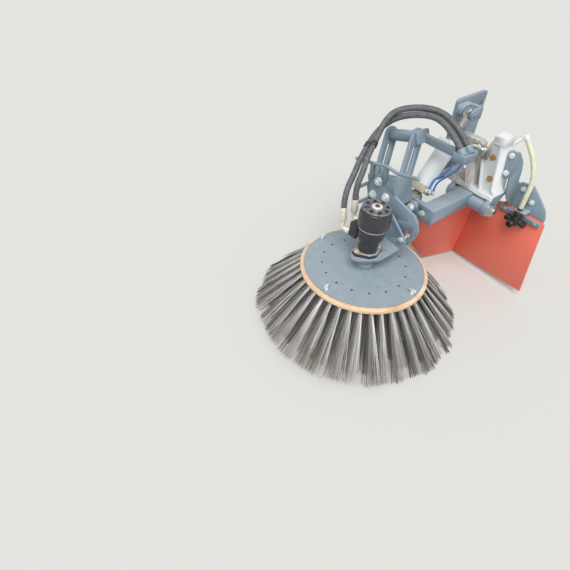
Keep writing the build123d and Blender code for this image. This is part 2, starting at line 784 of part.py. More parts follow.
with BuildPart() as cylinder_rod:
    with BuildSketch(cylinder_plane.offset(barrel_end - 40)):
        Circle(rod_radius)
    extrude(amount=reach - barrel_end + 40 - 12)
    with BuildSketch(cylinder_plane.offset(barrel_end - 52)):
        Circle(barrel_radius - 8 - 0.1)
    extrude(amount=12)
    with BuildSketch(sideways(cylinder_x - eye_width / 2)):
        with Locations((upper_pin_y, upper_pin_z)):
            Circle(19)
            Circle(pin_radius + 3.5, mode=Mode.SUBTRACT)
    extrude(amount=eye_width)
cylinder_rod.part.label = "cylinder_rod"
export_step(cylinder_rod.part, "parts/cylinder_rod.step")

clevis_depth = 36.0
# chassis plate, whose bolt pattern is the mount, with the upper clevis of the cylinder
with BuildPart() as chassis_plate:
    with BuildSketch(sideways(0)):
        with Locations((0, (chassis_low + chassis_high) / 2)):
            RectangleRounded(chassis_width, chassis_high - chassis_low, 12)
        with GridLocations(bolt_space_y, bolt_space_z, 2, 2):
            Circle(bolt_hole, mode=Mode.SUBTRACT)
    extrude(amount=chassis_thick)
    for ear_start, ear_end in (
        (chassis_thick, cylinder_x - half_eye - 4),
        (cylinder_x + half_eye + 4, cylinder_x + half_eye + 4 + clevis_ear),
    ):
        with BuildSketch(sideways(ear_start)):
            with Locations((upper_pin_y, upper_pin_z)):
                Circle(20)
                Rectangle(clevis_depth, 40, align=(Align.MIN, Align.CENTER))
        extrude(amount=ear_end - ear_start)
    with BuildSketch(sideways(chassis_thick)):
        with Locations((upper_pin_y + clevis_depth, upper_pin_z)):
            Rectangle(12, 40, align=(Align.MAX, Align.CENTER))
    extrude(amount=cylinder_x + half_eye + 4 + clevis_ear - chassis_thick)
    with BuildSketch(sideways(chassis_thick)):
        with Locations((upper_pin_y, upper_pin_z)):
            Circle(pin_radius)
    extrude(amount=cylinder_x + half_eye + 4 + clevis_ear + 4 - chassis_thick)
chassis_plate.part.label = "chassis_plate"
export_step(chassis_plate.part, "parts/chassis_plate.step")

# console casting: slab, bearing ears, rimmed upright, leaning post and the upper arm to the chassis plate
bearing_radius = 28.0
slab_top = slab_low + slab_thick
ear_starts = (sleeve_left - ear_thick - 2, sleeve_right + 2)
slab_right = ear_starts[1] + ear_thick
flank_back = -5.0
lug_thick = 7.0
web_back = 20.0
with BuildPart() as console_casting:
    with BuildSketch(Plane.XY.offset(slab_low)):
        with Locations(((chassis_thick + slab_right) / 2, (slab_front + slab_back) / 2)):
            RectangleRounded(slab_right - chassis_thick, slab_back - slab_front, 5)
    extrude(amount=slab_thick)
    for ear_start in ear_starts:
        with BuildSketch(sideways(ear_start)):
            with Locations((hinge_y, hinge_z)):
                Circle(bearing_radius)
            Polygon(
                (hinge_y - bearing_radius, hinge_z), (hinge_y - 8, slab_low + 1), (hinge_y + 74, slab_low + 1),
                (hinge_y + bearing_radius * 0.6, hinge_z - bearing_radius * 0.6), align=None,
            )
        extrude(amount=ear_thick)
    with BuildSketch(facing(flank_back)) as upright_outline:
        Polygon(
            (180, slab_top - 1), (153, -5), (157, 48), (168, 72), (178, 92), (204, 92), (210, 54), (230, -84),
            (slab_right - 2, -101), (slab_right, slab_top - 1), align=None,
        )
    extrude(amount=flank_back - upright_front)
    with BuildSketch(facing(upright_front)):
        add(upright_outline.sketch.face().moved(Location((0, upright_front - flank_back, 0))))
        offset(amount=-rim_width, kind=Kind.INTERSECTION, mode=Mode.REPLACE)
    extrude(amount=-rim_height, mode=Mode.SUBTRACT)
    with BuildSketch(facing(flank_back)):
        Polygon((118, slab_top - 1), (150, slab_top - 1), (122, 22), (84, 22), align=None)
    extrude(amount=flank_back + 60)
    with BuildSketch(facing(web_back)):
        Polygon(
            (90, slab_top - 1), (234, slab_top - 1), (230, -84), (214, 40), (172, 40), (158, -20), (150, -62), (96, -72),
            align=None,
        )
    extrude(amount=web_back - flank_back + 1)
    with BuildSketch(Plane.XY.offset(70)):
        with Locations((191, -31)):
            RectangleRounded(44, 62, 6)
    extrude(amount=28)
    with BuildSketch(facing(flank_back)):
        Polygon((200, 50), (237, 50), (237, 18), (206, 18), align=None)
        Polygon((212, -14), (237, -14), (237, -48), (220, -48), align=None)
    extrude(amount=lug_thick)
    with BuildSketch(facing(web_back)):
        Polygon((chassis_thick, 30), (chassis_thick, -8), (110, -8), (110, 22), (96, 30), align=None)
    extrude(amount=30)
    with BuildSketch(sideways(ear_starts[0])):
        with Locations((hinge_y, hinge_z)):
            Circle(hinge_radius)
    extrude(amount=ear_starts[1] + ear_thick - ear_starts[0], mode=Mode.SUBTRACT)
console_casting.part.label = "console_casting"
export_step(console_casting.part, "parts/console_casting.step")

# hinge pin of the arm, with a head at its left and a nut at its right
with BuildPart() as hinge_pin:
    with BuildSketch(sideways(ear_starts[0])):
        with Locations((hinge_y, hinge_z)):
            Circle(hinge_radius)
    extrude(amount=ear_starts[1] + ear_thick - ear_starts[0] + 24)
    with BuildSketch(sideways(ear_starts[0] - 8)):
        with Locations((hinge_y, hinge_z)):
            Circle(21)
    extrude(amount=8)
    with BuildSketch(sideways(ear_starts[1] + ear_thick)):
        with Locations((hinge_y, hinge_z)):
            Circle(26)
    extrude(amount=4)
    with BuildSketch(sideways(ear_starts[1] + ear_thick + 4)):
        with Locations((hinge_y, hinge_z)):
            RegularPolygon(23, 6)
    extrude(amount=16)
hinge_pin.part.label = "hinge_pin"
export_step(hinge_pin.part, "parts/hinge_pin.step")

# brass bolts in the upright's sunk face
with BuildPart() as casting_bolts:
    for bolt_x, bolt_z in ((189, 22), (205, -52)):
        with BuildSketch(facing(upright_front + rim_height)):
            with Locations((bolt_x, bolt_z)):
                Circle(12)
        extrude(amount=2)
        with BuildSketch(facing(upright_front + rim_height - 2)):
            with Locations((bolt_x, bolt_z)):
                RegularPolygon(10, 6)
        extrude(amount=9)
casting_bolts.part.label = "casting_bolts"
export_step(casting_bolts.part, "parts/casting_bolts.step")

# bulkhead plate on both uprights with the ends of the two motor hoses
port_plate_thick = 6.0
with BuildPart() as console_ports:
    with BuildSketch(facing(upright_front)):
        with Locations((139, 28)):
            RectangleRounded(72, 44, 6)
    extrude(amount=port_plate_thick)
    for route in console_routes.values():
        inward = Vector(*route[-1]) - Vector(*route[-2])
        add(ferrule(route[-1], inward, 29))
        with BuildSketch(Plane(origin=Vector(*route[-1]) + inward.normalized() * 12, z_dir=inward)):
            RegularPolygon(15, 6)
        extrude(amount=12)
console_ports.part.label = "console_ports"
export_step(console_ports.part, "parts/console_ports.step")

# sheet bracket: plate on the casting's two lugs, folded back into the hanger that carries the backing plate
bracket_sheet = 8.0
bracket_back = flank_back - lug_thick
bracket_front = bracket_back - bracket_sheet
fold_x = 245.0
fold_run = Vector(0.525, 0.851, 0)
hanger_plane = Plane(origin=(fold_x, bracket_front, 0), x_dir=fold_run, z_dir=(0.851, -0.525, 0))
hanger_end = (backing_front - bracket_front) / 0.851
with BuildPart() as guard_bracket:
    with BuildSketch(facing(bracket_back)) as plate_outline:
        Polygon((216, 42), (224, 52), (fold_x, 52), (fold_x, -48), (236, -52), (227, -44), align=None)
    extrude(amount=bracket_sheet)
    with BuildSketch(hanger_plane) as hanger_outline:
        Polygon(
            (0, 52), (12, 52), (35, 16), (43, -15), (49, -64), (hanger_end + 8, -70), (hanger_end + 8, -164),
            (48, -160), (30, -132), (16, -94), (10, -46), (0, -46), align=None,
        )
        fillet(hanger_outline.vertices().sort_by(Axis.Z)[2:-2], radius=5)
    extrude(amount=-bracket_sheet)
    with BuildSketch(facing(backing_front)):
        with Locations((fold_x, 0)):
            Rectangle(bracket_sheet * 20, hanger_end * 8)
    extrude(amount=-bracket_sheet * 3, mode=Mode.SUBTRACT)
guard_bracket.part.label = "guard_bracket"
export_step(guard_bracket.part, "parts/guard_bracket.step")

# bolts of bracket and backing plate: (plane across the truck, X, Z, size)
guard_bolt_rows = (
    (bracket_front, 232, 36, 8.5),
    (bracket_front, 235, -28, 8.5),
    (backing_front, 292, -84, 8.5),
    (backing_front - sheet, 340, -112, 8.5),
)
with BuildPart() as guard_bolts:
    for seat, bolt_x, bolt_z, size in guard_bolt_rows:
        with BuildSketch(facing(seat)):
            with Locations((bolt_x, bolt_z)):
                RegularPolygon(size, 6)
        extrude(amount=6.5)
guard_bolts.part.label = "guard_bolts"
export_step(guard_bolts.part, "parts/guard_bolts.step")

# backing plate with its curved outline
strip_low = strip_top - strip_height
with BuildPart() as deflector_backing:
    with BuildSketch(facing(backing_front + backing_thick)) as backing_outline:
        Polygon(
            (strip_left, strip_low), (strip_left, strip_top), (262, -150), (264, -80), (276, -64), (322, -59), (361, -93),
            (394, -126), (strip_right, -152), (strip_right, strip_low), align=None,
        )
        fillet(backing_outline.vertices().sort_by(Axis.Z)[4:], radius=10)
    extrude(amount=backing_thick)
deflector_backing.part.label = "deflector_backing"
export_step(deflector_backing.part, "parts/deflector_backing.step")

# front sheet, from the crease to the kerb side
crease_low = (crease_x, deflector_low)
crease_high = (crease_x + crease_lean, -205)
with BuildPart() as deflector_front:
    with BuildSketch(facing(backing_front)):
        Polygon(
            (crease_low[0] - 8, crease_low[1]), (crease_high[0] - 8, crease_high[1]), (strip_left, sheet_top),
            (strip_right, sheet_top), (strip_right + 10, sheet_top - 5), (sheet_right, deflector_low + 16), align=None,
        )
    extrude(amount=sheet)
deflector_front.part.label = "deflector_front"
export_step(deflector_front.part, "parts/deflector_front.step")

with BuildPart() as clamp_strip:
    with BuildSketch(facing(backing_front - sheet)):
        Polygon(
            (strip_left, strip_low), (strip_left, strip_top), (strip_right - 2, strip_top), (strip_right - 2, strip_low),
            align=None,
        )
    extrude(amount=sheet)
    with BuildSketch(facing(backing_front - 2 * sheet)):
        with Locations((strip_right - 22, strip_low + strip_height / 2), (strip_left + 26, strip_low + strip_height / 2)):
            RegularPolygon(7.5, 6)
    extrude(amount=5)
clamp_strip.part.label = "clamp_strip"
export_step(clamp_strip.part, "parts/clamp_strip.step")

# rear sheet turned forward at the crease
rear_end_x = 28.0
rear_end_y = -270.0
rear_run_x = rear_end_x - crease_x
rear_run_y = rear_end_y - backing_front
rear_length = hypot(rear_run_x, rear_run_y)
rear_run = Vector(rear_run_x, rear_run_y, 0)
crease_run = Vector(crease_lean, 0, crease_high[1] - crease_low[1])
rear_plane = Plane(origin=(crease_x, backing_front, deflector_low), x_dir=rear_run, z_dir=rear_run.cross(crease_run))
rear_side = -1 if rear_plane.y_dir.Z < 0 else 1
rear_high = (crease_high[1] - deflector_low) * rear_side
with BuildPart() as deflector_rear:
    with BuildSketch(rear_plane):
        Polygon(
            (-20, 0), (rear_length * 0.49, 0), (rear_length, rear_high * 0.667), (rear_length, rear_high * 0.965),
            (rear_length - 30, rear_high), (-20, rear_high), align=None,
        )
    extrude(amount=sheet)
    with BuildSketch(facing(backing_front - sheet)):
        with Locations((crease_x, deflector_low)):
            Rectangle(rear_length * 2, rear_length * 3)
    extrude(amount=-rear_length, mode=Mode.SUBTRACT)
deflector_rear.part.label = "deflector_rear"
export_step(deflector_rear.part, "parts/deflector_rear.step")

# spray nozzles in front of the clamp strip: bent strap on the backing plate, body with two arms
nozzle_x = 324.0
nozzle_y = 2.0
nozzle_z = -190.0
strap_z = -148.0
with BuildPart() as spray_nozzles:
    with BuildSketch(Plane.XY.offset(strap_z)):
        Polygon((nozzle_x - 16, nozzle_y - 10), (352, nozzle_y - 10), (352, backing_front), (nozzle_x, backing_front), align=None)
    extrude(amount=5)
    with BuildSketch(facing(backing_front)):
        Polygon((nozzle_x + 2, strap_z), (352, strap_z), (352, strap_z + 44), (nozzle_x + 6, strap_z + 44), align=None)
    extrude(amount=sheet)
    with Locations((nozzle_x, nozzle_y, nozzle_z - 14)):
        Cylinder(14, 50, align=upward)
    with Locations((nozzle_x, nozzle_y, nozzle_z)):
        Cylinder(9, 55, align=upward)
    with Locations(Location((nozzle_x, nozzle_y, nozzle_z), (0, 90, 0))):
        Cylinder(9, 54)
    with Locations(Location((nozzle_x, nozzle_y, nozzle_z), (90, 0, 0))):
        Cylinder(9, 26, align=upward)
spray_nozzles.part.label = "spray_nozzles"
export_step(spray_nozzles.part, "parts/spray_nozzles.step")

# union nuts that hold the nozzle tips: left, right and forward
with BuildPart() as nozzle_caps:
    for tip in ((-27, 0, 0), (27, 0, 0), (0, -26, 0)):
        with BuildSketch(Plane(origin=Vector(nozzle_x, nozzle_y, nozzle_z) + Vector(*tip), z_dir=tip)):
            Circle(13)
        extrude(amount=13)
nozzle_caps.part.label = "nozzle_caps"
export_step(nozzle_caps.part, "parts/nozzle_caps.step")

spray_points = [
    (nozzle_x, nozzle_y, nozzle_z + 55), (nozzle_x, nozzle_y, -96), (320, 14, -38), (296, 22, 14), (268, 30, 48),
    (240, 30, 78),
]
# tee of the water line, on a bent pipe that stands on the casting
tee_foot = (206, 10, 40)
with BuildPart() as spray_tee:
    with Locations(Location((223, 30, 85), (0, 90, 0))):
        Cylinder(9, 22)
    with Locations(Plane(origin=spray_points[-1], z_dir=(-28, 0, 30))):
        Cylinder(9, 20, align=upward)
    with BuildLine() as tee_pipe:
        FilletPolyline(tee_foot, (206, 10, 60), (223, 30, 85), radius=10)
    with BuildSketch(Plane(origin=tee_foot)):
        Circle(7)
    sweep()
    with BuildSketch(Plane(origin=tee_foot)):
        RegularPolygon(10, 6)
    extrude(amount=9)
spray_tee.part.label = "spray_tee"
export_step(spray_tee.part, "parts/spray_tee.step")

spray_hose = hose(spray_points, spray_radius, "spray_hose")
spray_hose.label = "spray_hose"
export_step(spray_hose, "parts/spray_hose.step")

# union at the end of the carrier bar: hoses come in from above and leave towards the console
union_length = 50.0
union_low = carrier_z - 20
union_high = carrier_z + 8
with BuildPart() as hose_union:
    with BuildSketch(Plane.XY.offset(union_low)):
        with Locations((carrier_right + union_length / 2, carrier_y + 13)):
            RectangleRounded(union_length, 58, 4)
    extrude(amount=union_high - union_low)
    for route in arm_routes.values():
        add(ferrule(route[-1], Vector(*route[-1]) - Vector(*route[-2]), 26))
    for route in console_routes.values():
        add(ferrule(route[0], Vector(*route[0]) - Vector(*route[1]), 26))
hose_union.part.label = "hose_union"
export_step(hose_union.part, "parts/hose_union.step")

for name, routes in (("hoses_motor", motor_routes), ("hoses_arm", arm_routes), ("hoses_console", console_routes)):
    with BuildPart() as hose_pair:
        for key, route in routes.items():
            add(hose(route, hose_radius, name + " " + key))
    hose_pair.part.label = name
    export_step(hose_pair.part, "parts/" + name + ".step")

# air fittings on the cylinder's lower cap and the tubes from them up to the union
cap_middle = Vector(0, reach_y, reach_z).normalized() * (cap_start + end_cap / 2) + Vector(0, lower_pin_y, lower_pin_z)
fitting_length = 14.0
fitting_x = cylinder_x + cap_size / 2
elbow_rise = 13.0
air_ports = [
    (fitting_x + fitting_length, lower_pin_y + 8, lower_pin_z + 39), (fitting_x + fitting_length, lower_pin_y + 34, lower_pin_z + 21),
]
air_starts = [(x, y, z + elbow_rise) for x, y, z in air_ports]
with BuildPart() as air_fittings:
    for port in air_ports:
        with BuildSketch(sideways(fitting_x)):
            with Locations(port[1:]):
                RegularPolygon(9, 6)
        extrude(amount=7)
        with BuildSketch(sideways(fitting_x + 7)):
            with Locations(port[1:]):
                Circle(6)
        extrude(amount=fitting_length - 7)
        with Locations(port):
            Sphere(6)
            Cylinder(6, elbow_rise, align=upward)
air_fittings.part.label = "air_fittings"
export_step(air_fittings.part, "parts/air_fittings.step")

air_routes = [
    [air_starts[0], (100, -242, -53), (127, -240, -17), from_carrier(8, -4, -50), from_carrier(8, -4, -20)],
    [air_starts[1], (100, -216, -69), (135, -217, -26), from_carrier(26, 14, -52), from_carrier(26, 14, -20)],
]
with BuildPart() as air_tubes:
    for index, route in enumerate(air_routes):
        add(hose(route, air_radius, "air_tubes " + str(index)))
air_tubes.part.label = "air_tubes"
export_step(air_tubes.part, "parts/air_tubes.step")
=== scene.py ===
import bpy
import bmesh
import json
import math
from mathutils import Euler, Matrix, Vector


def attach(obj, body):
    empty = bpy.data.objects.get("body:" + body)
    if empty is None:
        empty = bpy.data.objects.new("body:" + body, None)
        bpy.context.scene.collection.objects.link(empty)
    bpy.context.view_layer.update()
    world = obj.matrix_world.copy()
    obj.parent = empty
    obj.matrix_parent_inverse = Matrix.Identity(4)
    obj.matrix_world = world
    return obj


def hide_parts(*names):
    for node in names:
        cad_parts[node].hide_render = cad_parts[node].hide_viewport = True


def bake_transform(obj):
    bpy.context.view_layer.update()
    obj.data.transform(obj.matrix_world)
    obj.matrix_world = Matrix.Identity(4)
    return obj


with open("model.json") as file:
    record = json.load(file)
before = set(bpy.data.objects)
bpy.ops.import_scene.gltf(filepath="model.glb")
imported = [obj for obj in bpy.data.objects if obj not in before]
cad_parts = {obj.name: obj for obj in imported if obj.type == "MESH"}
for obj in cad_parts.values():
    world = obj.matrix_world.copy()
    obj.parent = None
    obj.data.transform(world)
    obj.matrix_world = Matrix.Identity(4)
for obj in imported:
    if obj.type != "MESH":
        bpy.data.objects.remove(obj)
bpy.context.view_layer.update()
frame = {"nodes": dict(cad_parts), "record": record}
nodeBody = {node: body for body, nodes in frame["record"]["behaviour"]["bodies"].items() for node in nodes}
nodeSlot = {entry["node"]: entry["material_slot"] for entry in frame["record"]["subparts"]}
print("frame loaded:", len(nodeBody), "nodes")

mm = 0.001  # sizes are in mm unless a note says otherwise


def addObject(name, data):
    obj = bpy.data.objects.new(name, data)
    bpy.context.scene.collection.objects.link(obj)
    return obj


# camera of the photograph, above and in front of the broom: place in metres, down in degrees
shot = {
    "place": (0.889, -1.426, 0.758), "ahead": (-0.819, 0.574), "down": 45.0, "lens": 27.1, "sensor": 36, "near": 0.02,
}
cameraData = bpy.data.cameras.new("photoCamera")
cameraData.sensor_width = shot["sensor"]
cameraData.lens = shot["lens"]
cameraData.clip_start = shot["near"]
camera = addObject("photoCamera", cameraData)
down = math.radians(shot["down"])
aheadX, aheadY = shot["ahead"]
camera.location = shot["place"]
camera.rotation_euler = (
    Vector((aheadX * math.cos(down), aheadY * math.cos(down), -math.sin(down))).to_track_quat("-Z", "Y").to_euler()
)
bpy.context.scene.camera = camera

# the broom's own frame: middle of its plate in metres, pitched in degrees; heights in it start at the plate's top
broomPlace = {"centre": (0.100, -0.520, -0.300), "pitch": -4.0}
broomPitch = math.radians(broomPlace["pitch"])
broomFrame = Matrix.Translation(broomPlace["centre"]) @ Matrix.Rotation(broomPitch, 4, "X")


def hexColour(code):
    # sRGB hex value to linear red, green, blue and alpha
    parts = [int(code[i : i + 2], 16) / 255 for i in (1, 3, 5)]
    return tuple(p / 12.92 if p <= 0.04045 else ((p + 0.055) / 1.055) ** 2.4 for p in parts) + (1.0,)


def connect(tree, node, values):
    # a socket, or a node's first one, is linked to the input; anything else becomes the input's own value
    for socket, value in values.items():
        for part in value if isinstance(value, list) else [value]:
            if isinstance(part, bpy.types.Node):
                part = part.outputs[0]
            if isinstance(part, bpy.types.NodeSocket):
                tree.links.new(part, node.inputs[socket])
            else:
                node.inputs[socket].default_value = part


def addNode(tree, kind, values=None, **settings):
    node = tree.nodes.new(kind)
    for name, value in settings.items():
        setattr(node, name, value)
    connect(tree, node, values or {})
    return node


def newMaterial(name):
    material = bpy.data.materials.new(name)
    material.use_nodes = True
    return material, material.node_tree, material.node_tree.nodes["Principled BSDF"]


# painted and cast surfaces; cloud and skin are the grain of the colour and of the surface, dust and splash are shares;
# the dust on what faces up is also painted top light
paintLooks = {
    # powder coat baked on steel: even grey-blue with a satin gloss; what faces up is paler, partly from pale dust and
    # partly painted top light
    "greyBluePowderCoat": dict(
        colour="#8496A3", shade="#798C9A", dustAndTopLightColour="#BBC2C7", dustAndTopLight=0.48, splash=0.22, cloud=160, skin=1.6,
        skinDepth=0.10, roughness=0.36,
    ),
    # iron cast in sand and enamelled: the sand's grain shows through the white, dirt has run down its left side
    "whiteEnamelledCasting": dict(
        colour="#EBEEF0", shade="#DDE0E1", dustAndTopLightColour="#A89A8B", dustAndTopLight=0.12, splash=0.34, cloud=45, skin=2.6,
        skinDepth=0.35, roughness=0.45, streaksLeftOf=152,
    ),
    # enamel sprayed on drawn tube: smooth and near white, glossier than the casting
    "paleCylinderEnamel": dict(
        colour="#F4F8F8", shade="#E8ECEC", dustAndTopLightColour="#A79E90", dustAndTopLight=0.12, splash=0.25, cloud=80, skin=1.8,
        skinDepth=0.06, roughness=0.30,
    ),
    # bare cast aluminium, dull with oxide and dirt: beige, blotchy and without a metal's gloss
    "beigeCastAluminium": dict(
        colour="#C9C0AE", shade="#A99F8D", dustAndTopLightColour="#7B6C5C", dustAndTopLight=0.25, splash=0.45, cloud=30, skin=2.0,
        skinDepth=0.30, roughness=0.50,
    ),
    # enamel sprayed on cast iron: glossy black under a grey film
    "blackMotorEnamel": dict(
        colour="#36353A", shade="#2A2A2F", dustAndTopLightColour="#7A7876", dustAndTopLight=0.16, splash=0.22, cloud=40, skin=1.8,
        skinDepth=0.12, roughness=0.24,
    ),
    # the same enamel chafed by grit: deeper black with many pale flecks
    "scuffedMotorEnamel": dict(
        colour="#2B2B2F", shade="#202124", dustAndTopLightColour="#A4A3A0", dustAndTopLight=0.10, splash=0.60, cloud=14, skin=1.8,
        skinDepth=0.25, roughness=0.26,
    ),
    # enamel on flat steel sheet: even orange-red that has faded, with dried splashes
    "orangeSheetEnamel": dict(
        colour="#F27A66", shade="#E8705B", dustAndTopLightColour="#B08C7C", dustAndTopLight=0.15, splash=0.35, cloud=150, skin=2.0,
        skinDepth=0.05, roughness=0.38,
    ),
}
# dirt on paint: a film that thins in patches on what faces up, drops where splashes dried, both dull; on the grey-blue
# coat the film on what faces up is partly painted top light
dirtAndTopLight = {
    "film": 0.05, "lying": 0.35, "patch": 28, "patchEdge": (0.35, 0.75), "thinnest": 0.5, "drop": 7,
    "dropEdge": (0.66, 0.72), "roughness": 0.75,
}
# dirt that ran down one side: runs 11 mm wide and 45 mm tall (counts per metre), fading out over the last 18 mm
runDirt = {"perMetre": (90.0, 90.0, 22.0), "edge": (0.3, 0.6), "fade": (-12, 6), "most": 0.75, "least": 0.25}


def paintedFinish(name, look):
    material, tree, shader = newMaterial(name)
    place = addNode(tree, "ShaderNodeTexCoord").outputs["Object"]
    cloud = addNode(tree, "ShaderNodeTexNoise", {"Vector": place, "Scale": 1000 / look["cloud"], "Detail": 5.0})
    base = addNode(
        tree, "ShaderNodeMix", {0: cloud, 6: hexColour(look["colour"]), 7: hexColour(look["shade"])}, data_type="RGBA"
    )
    facing = addNode(tree, "ShaderNodeNewGeometry").outputs["Normal"]
    upward = addNode(tree, "ShaderNodeSeparateXYZ", {0: facing}).outputs["Z"]
    # faces that look up take the dust colour: real dust, and on the grey-blue coat painted top light as well
    upwardDustAndLight = addNode(
        tree, "ShaderNodeMapRange", {0: upward, 1: dirtAndTopLight["lying"], 2: 1.0, 3: dirtAndTopLight["film"], 4: look["dustAndTopLight"]}
    )
    drift = addNode(
        tree, "ShaderNodeTexNoise", {"Vector": place, "Scale": 1000 / dirtAndTopLight["patch"], "Detail": 8.0, "Roughness": 0.7}
    )
    bare, laden = dirtAndTopLight["patchEdge"]
    thin = addNode(tree, "ShaderNodeMapRange", {0: drift, 1: bare, 2: laden, 3: dirtAndTopLight["thinnest"], 4: 1.0})
    dusty = addNode(tree, "ShaderNodeMath", {0: upwardDustAndLight, 1: thin}, operation="MULTIPLY")
    drops = addNode(
        tree, "ShaderNodeTexNoise", {"Vector": place, "Scale": 1000 / dirtAndTopLight["drop"], "Detail": 3.0, "Roughness": 0.5}
    )
    faint, full = dirtAndTopLight["dropEdge"]
    dried = addNode(tree, "ShaderNodeMapRange", {0: drops, 1: faint, 2: full, 3: 0.0, 4: look["splash"]})
    soiledAndTopLit = addNode(tree, "ShaderNodeMath", {0: dusty, 1: dried}, operation="MAXIMUM")
    if "streaksLeftOf" in look:
        across = addNode(tree, "ShaderNodeSeparateXYZ", {0: place}).outputs["X"]
        inside, outside = [(look["streaksLeftOf"] + fade) * mm for fade in runDirt["fade"]]
        leftSide = addNode(tree, "ShaderNodeMapRange", {0: across, 1: inside, 2: outside, 3: runDirt["most"], 4: 0.0})
        stretched = addNode(tree, "ShaderNodeMapping", {"Vector": place, "Scale": runDirt["perMetre"]})
        runs = addNode(tree, "ShaderNodeTexNoise", {"Vector": stretched, "Scale": 1.0, "Detail": 5.0})
        thinRun, run = runDirt["edge"]
        streaks = addNode(tree, "ShaderNodeMapRange", {0: runs, 1: thinRun, 2: run, 3: runDirt["least"], 4: 1.0})
        streaked = addNode(tree, "ShaderNodeMath", {0: leftSide, 1: streaks}, operation="MULTIPLY")
        soiledAndTopLit = addNode(tree, "ShaderNodeMath", {0: soiledAndTopLit, 1: streaked}, operation="MAXIMUM")
    colour = addNode(
        tree, "ShaderNodeMix", {0: soiledAndTopLit, 6: base.outputs[2], 7: hexColour(look["dustAndTopLightColour"])}, data_type="RGBA"
    )
    dull = addNode(tree, "ShaderNodeMapRange", {0: soiledAndTopLit, 1: 0.0, 2: 0.5, 3: look["roughness"], 4: dirtAndTopLight["roughness"]})
    skin = addNode(tree, "ShaderNodeTexNoise", {"Vector": place, "Scale": 1000 / look["skin"], "Detail": 2.0})
    relief = addNode(tree, "ShaderNodeBump", {"Height": skin, "Strength": look["skinDepth"], "Distance": 0.6 * mm})
    connect(tree, shader, {"Base Color": colour.outputs[2], "Roughness": dull, "Normal": relief, "IOR": 1.5})
    return material


# bare and plated metals; a grain of 1.5 to 3 mm is drawn coarser than the plating's own, so that it shows
metalLooks = {
    # bright zinc electroplate: near white with a soft gloss, because its chalky film hides half of the metal
    "brightZincPlate": dict(colour="#F0F4F4", stain="#B9B8B0", amount=0.30, grain=3.0, roughness=0.34, metal=0.55),
    # zinc plate passivated yellow: golden brown, darker where it is worn
    "yellowZincPlate": dict(colour="#CFA26C", stain="#8A6844", amount=0.55, grain=2.0, roughness=0.38, metal=0.7),
    # rolled zinc-plated ferrules, chalky with salt: pale and matt
    "matZincSleeve": dict(colour="#E9E4D8", stain="#B8A486", amount=0.45, grain=2.5, roughness=0.42, metal=0.35),
    # milled iron, rinsed bare: light grey with dark stains; on the flange's top its paleness is partly a painted sky
    # reflection
    "wornFlangeFaceAndReflection": dict(colour="#BDB6B9", stain="#55525A", amount=0.60, grain=2.0, roughness=0.30, metal=0.4),
    # steel where enamel has rubbed off an edge, on the motor cap's rims also a painted highlight: bright patches
    # between dark ones
    "wornEdgeAndHighlightSteel": dict(colour="#A6A5A8", stain="#3A3A3E", amount=0.90, grain=1.5, roughness=0.30, metal=0.6),
    # zinc plate under a film of dried mud: cream with brown stains
    "creamZincPlate": dict(colour="#EADCC4", stain="#A98E6C", amount=0.45, grain=2.0, roughness=0.40, metal=0.55),
    # ground and chromed steel: smooth, bright, hardly stained
    "groundSteelRod": dict(colour="#C4C3BE", stain="#837B70", amount=0.25, grain=1.5, roughness=0.22, metal=0.85),
    # rusted steel: rough orange-brown and dark brown
    "rustySteel": dict(colour="#9A6A45", stain="#5A3B27", amount=0.80, grain=1.5, roughness=0.70, metal=0.6),
}
# stains on metal come in blotches of 9 mm and are dull
blotch = {"size": 9, "edge": (0.42, 0.72), "roughness": 0.7, "grainDepth": 0.12}


def metalFinish(name, look):
    material, tree, shader = newMaterial(name)
    place = addNode(tree, "ShaderNodeTexCoord").outputs["Object"]
    spots = addNode(
        tree, "ShaderNodeTexNoise", {"Vector": place, "Scale": 1000 / blotch["size"], "Detail": 6.0, "Roughness": 0.65}
    )
    clean, foul = blotch["edge"]
    stained = addNode(tree, "ShaderNodeMapRange", {0: spots, 1: clean, 2: foul, 3: 0.0, 4: look["amount"]})
    colour = addNode(
        tree, "ShaderNodeMix", {0: stained, 6: hexColour(look["colour"]), 7: hexColour(look["stain"])}, data_type="RGBA"
    )
    dull = addNode(
        tree, "ShaderNodeMapRange", {0: stained, 1: 0.0, 2: 0.6, 3: look["roughness"], 4: blotch["roughness"]}
    )
    grain = addNode(tree, "ShaderNodeTexNoise", {"Vector": place, "Scale": 1000 / look["grain"], "Detail": 2.0})
    relief = addNode(tree, "ShaderNodeBump", {"Height": grain, "Strength": blotch["grainDepth"], "Distance": 0.3 * mm})
    connect(
        tree, shader, {"Base Color": colour.outputs[2], "Metallic": look["metal"], "Roughness": dull, "Normal": relief}
    )
    return material


# hose covers; ridges run round the hose at a pitch in mm, coarser than the cloth's own thread so that they show
coverLooks = {
    # rubber cured in a wrapping of cloth: charcoal, matt, with the cloth's impression and pale scuffs
    "blackHoseRubber": dict(colour="#5C5F62", worn="#808486", pitch=2.5, depth=0.35, roughness=0.46),
    # extruded soft PVC, yellowed by the sun: pale cream and smooth
    "paleWaterHosePvc": dict(colour="#DEDEC2", worn="#C4BF9E", pitch=4.0, depth=0.05, roughness=0.34),
    # extruded polyamide: clear blue, smooth and glossy
    "blueAirTubePolyamide": dict(colour="#4A84E0", worn="#3D70CC", pitch=4.0, depth=0.02, roughness=0.25),
}
scuff = {"size": 14, "edge": (0.45, 0.7), "most": 0.7}  # rubbed patches of 14 mm


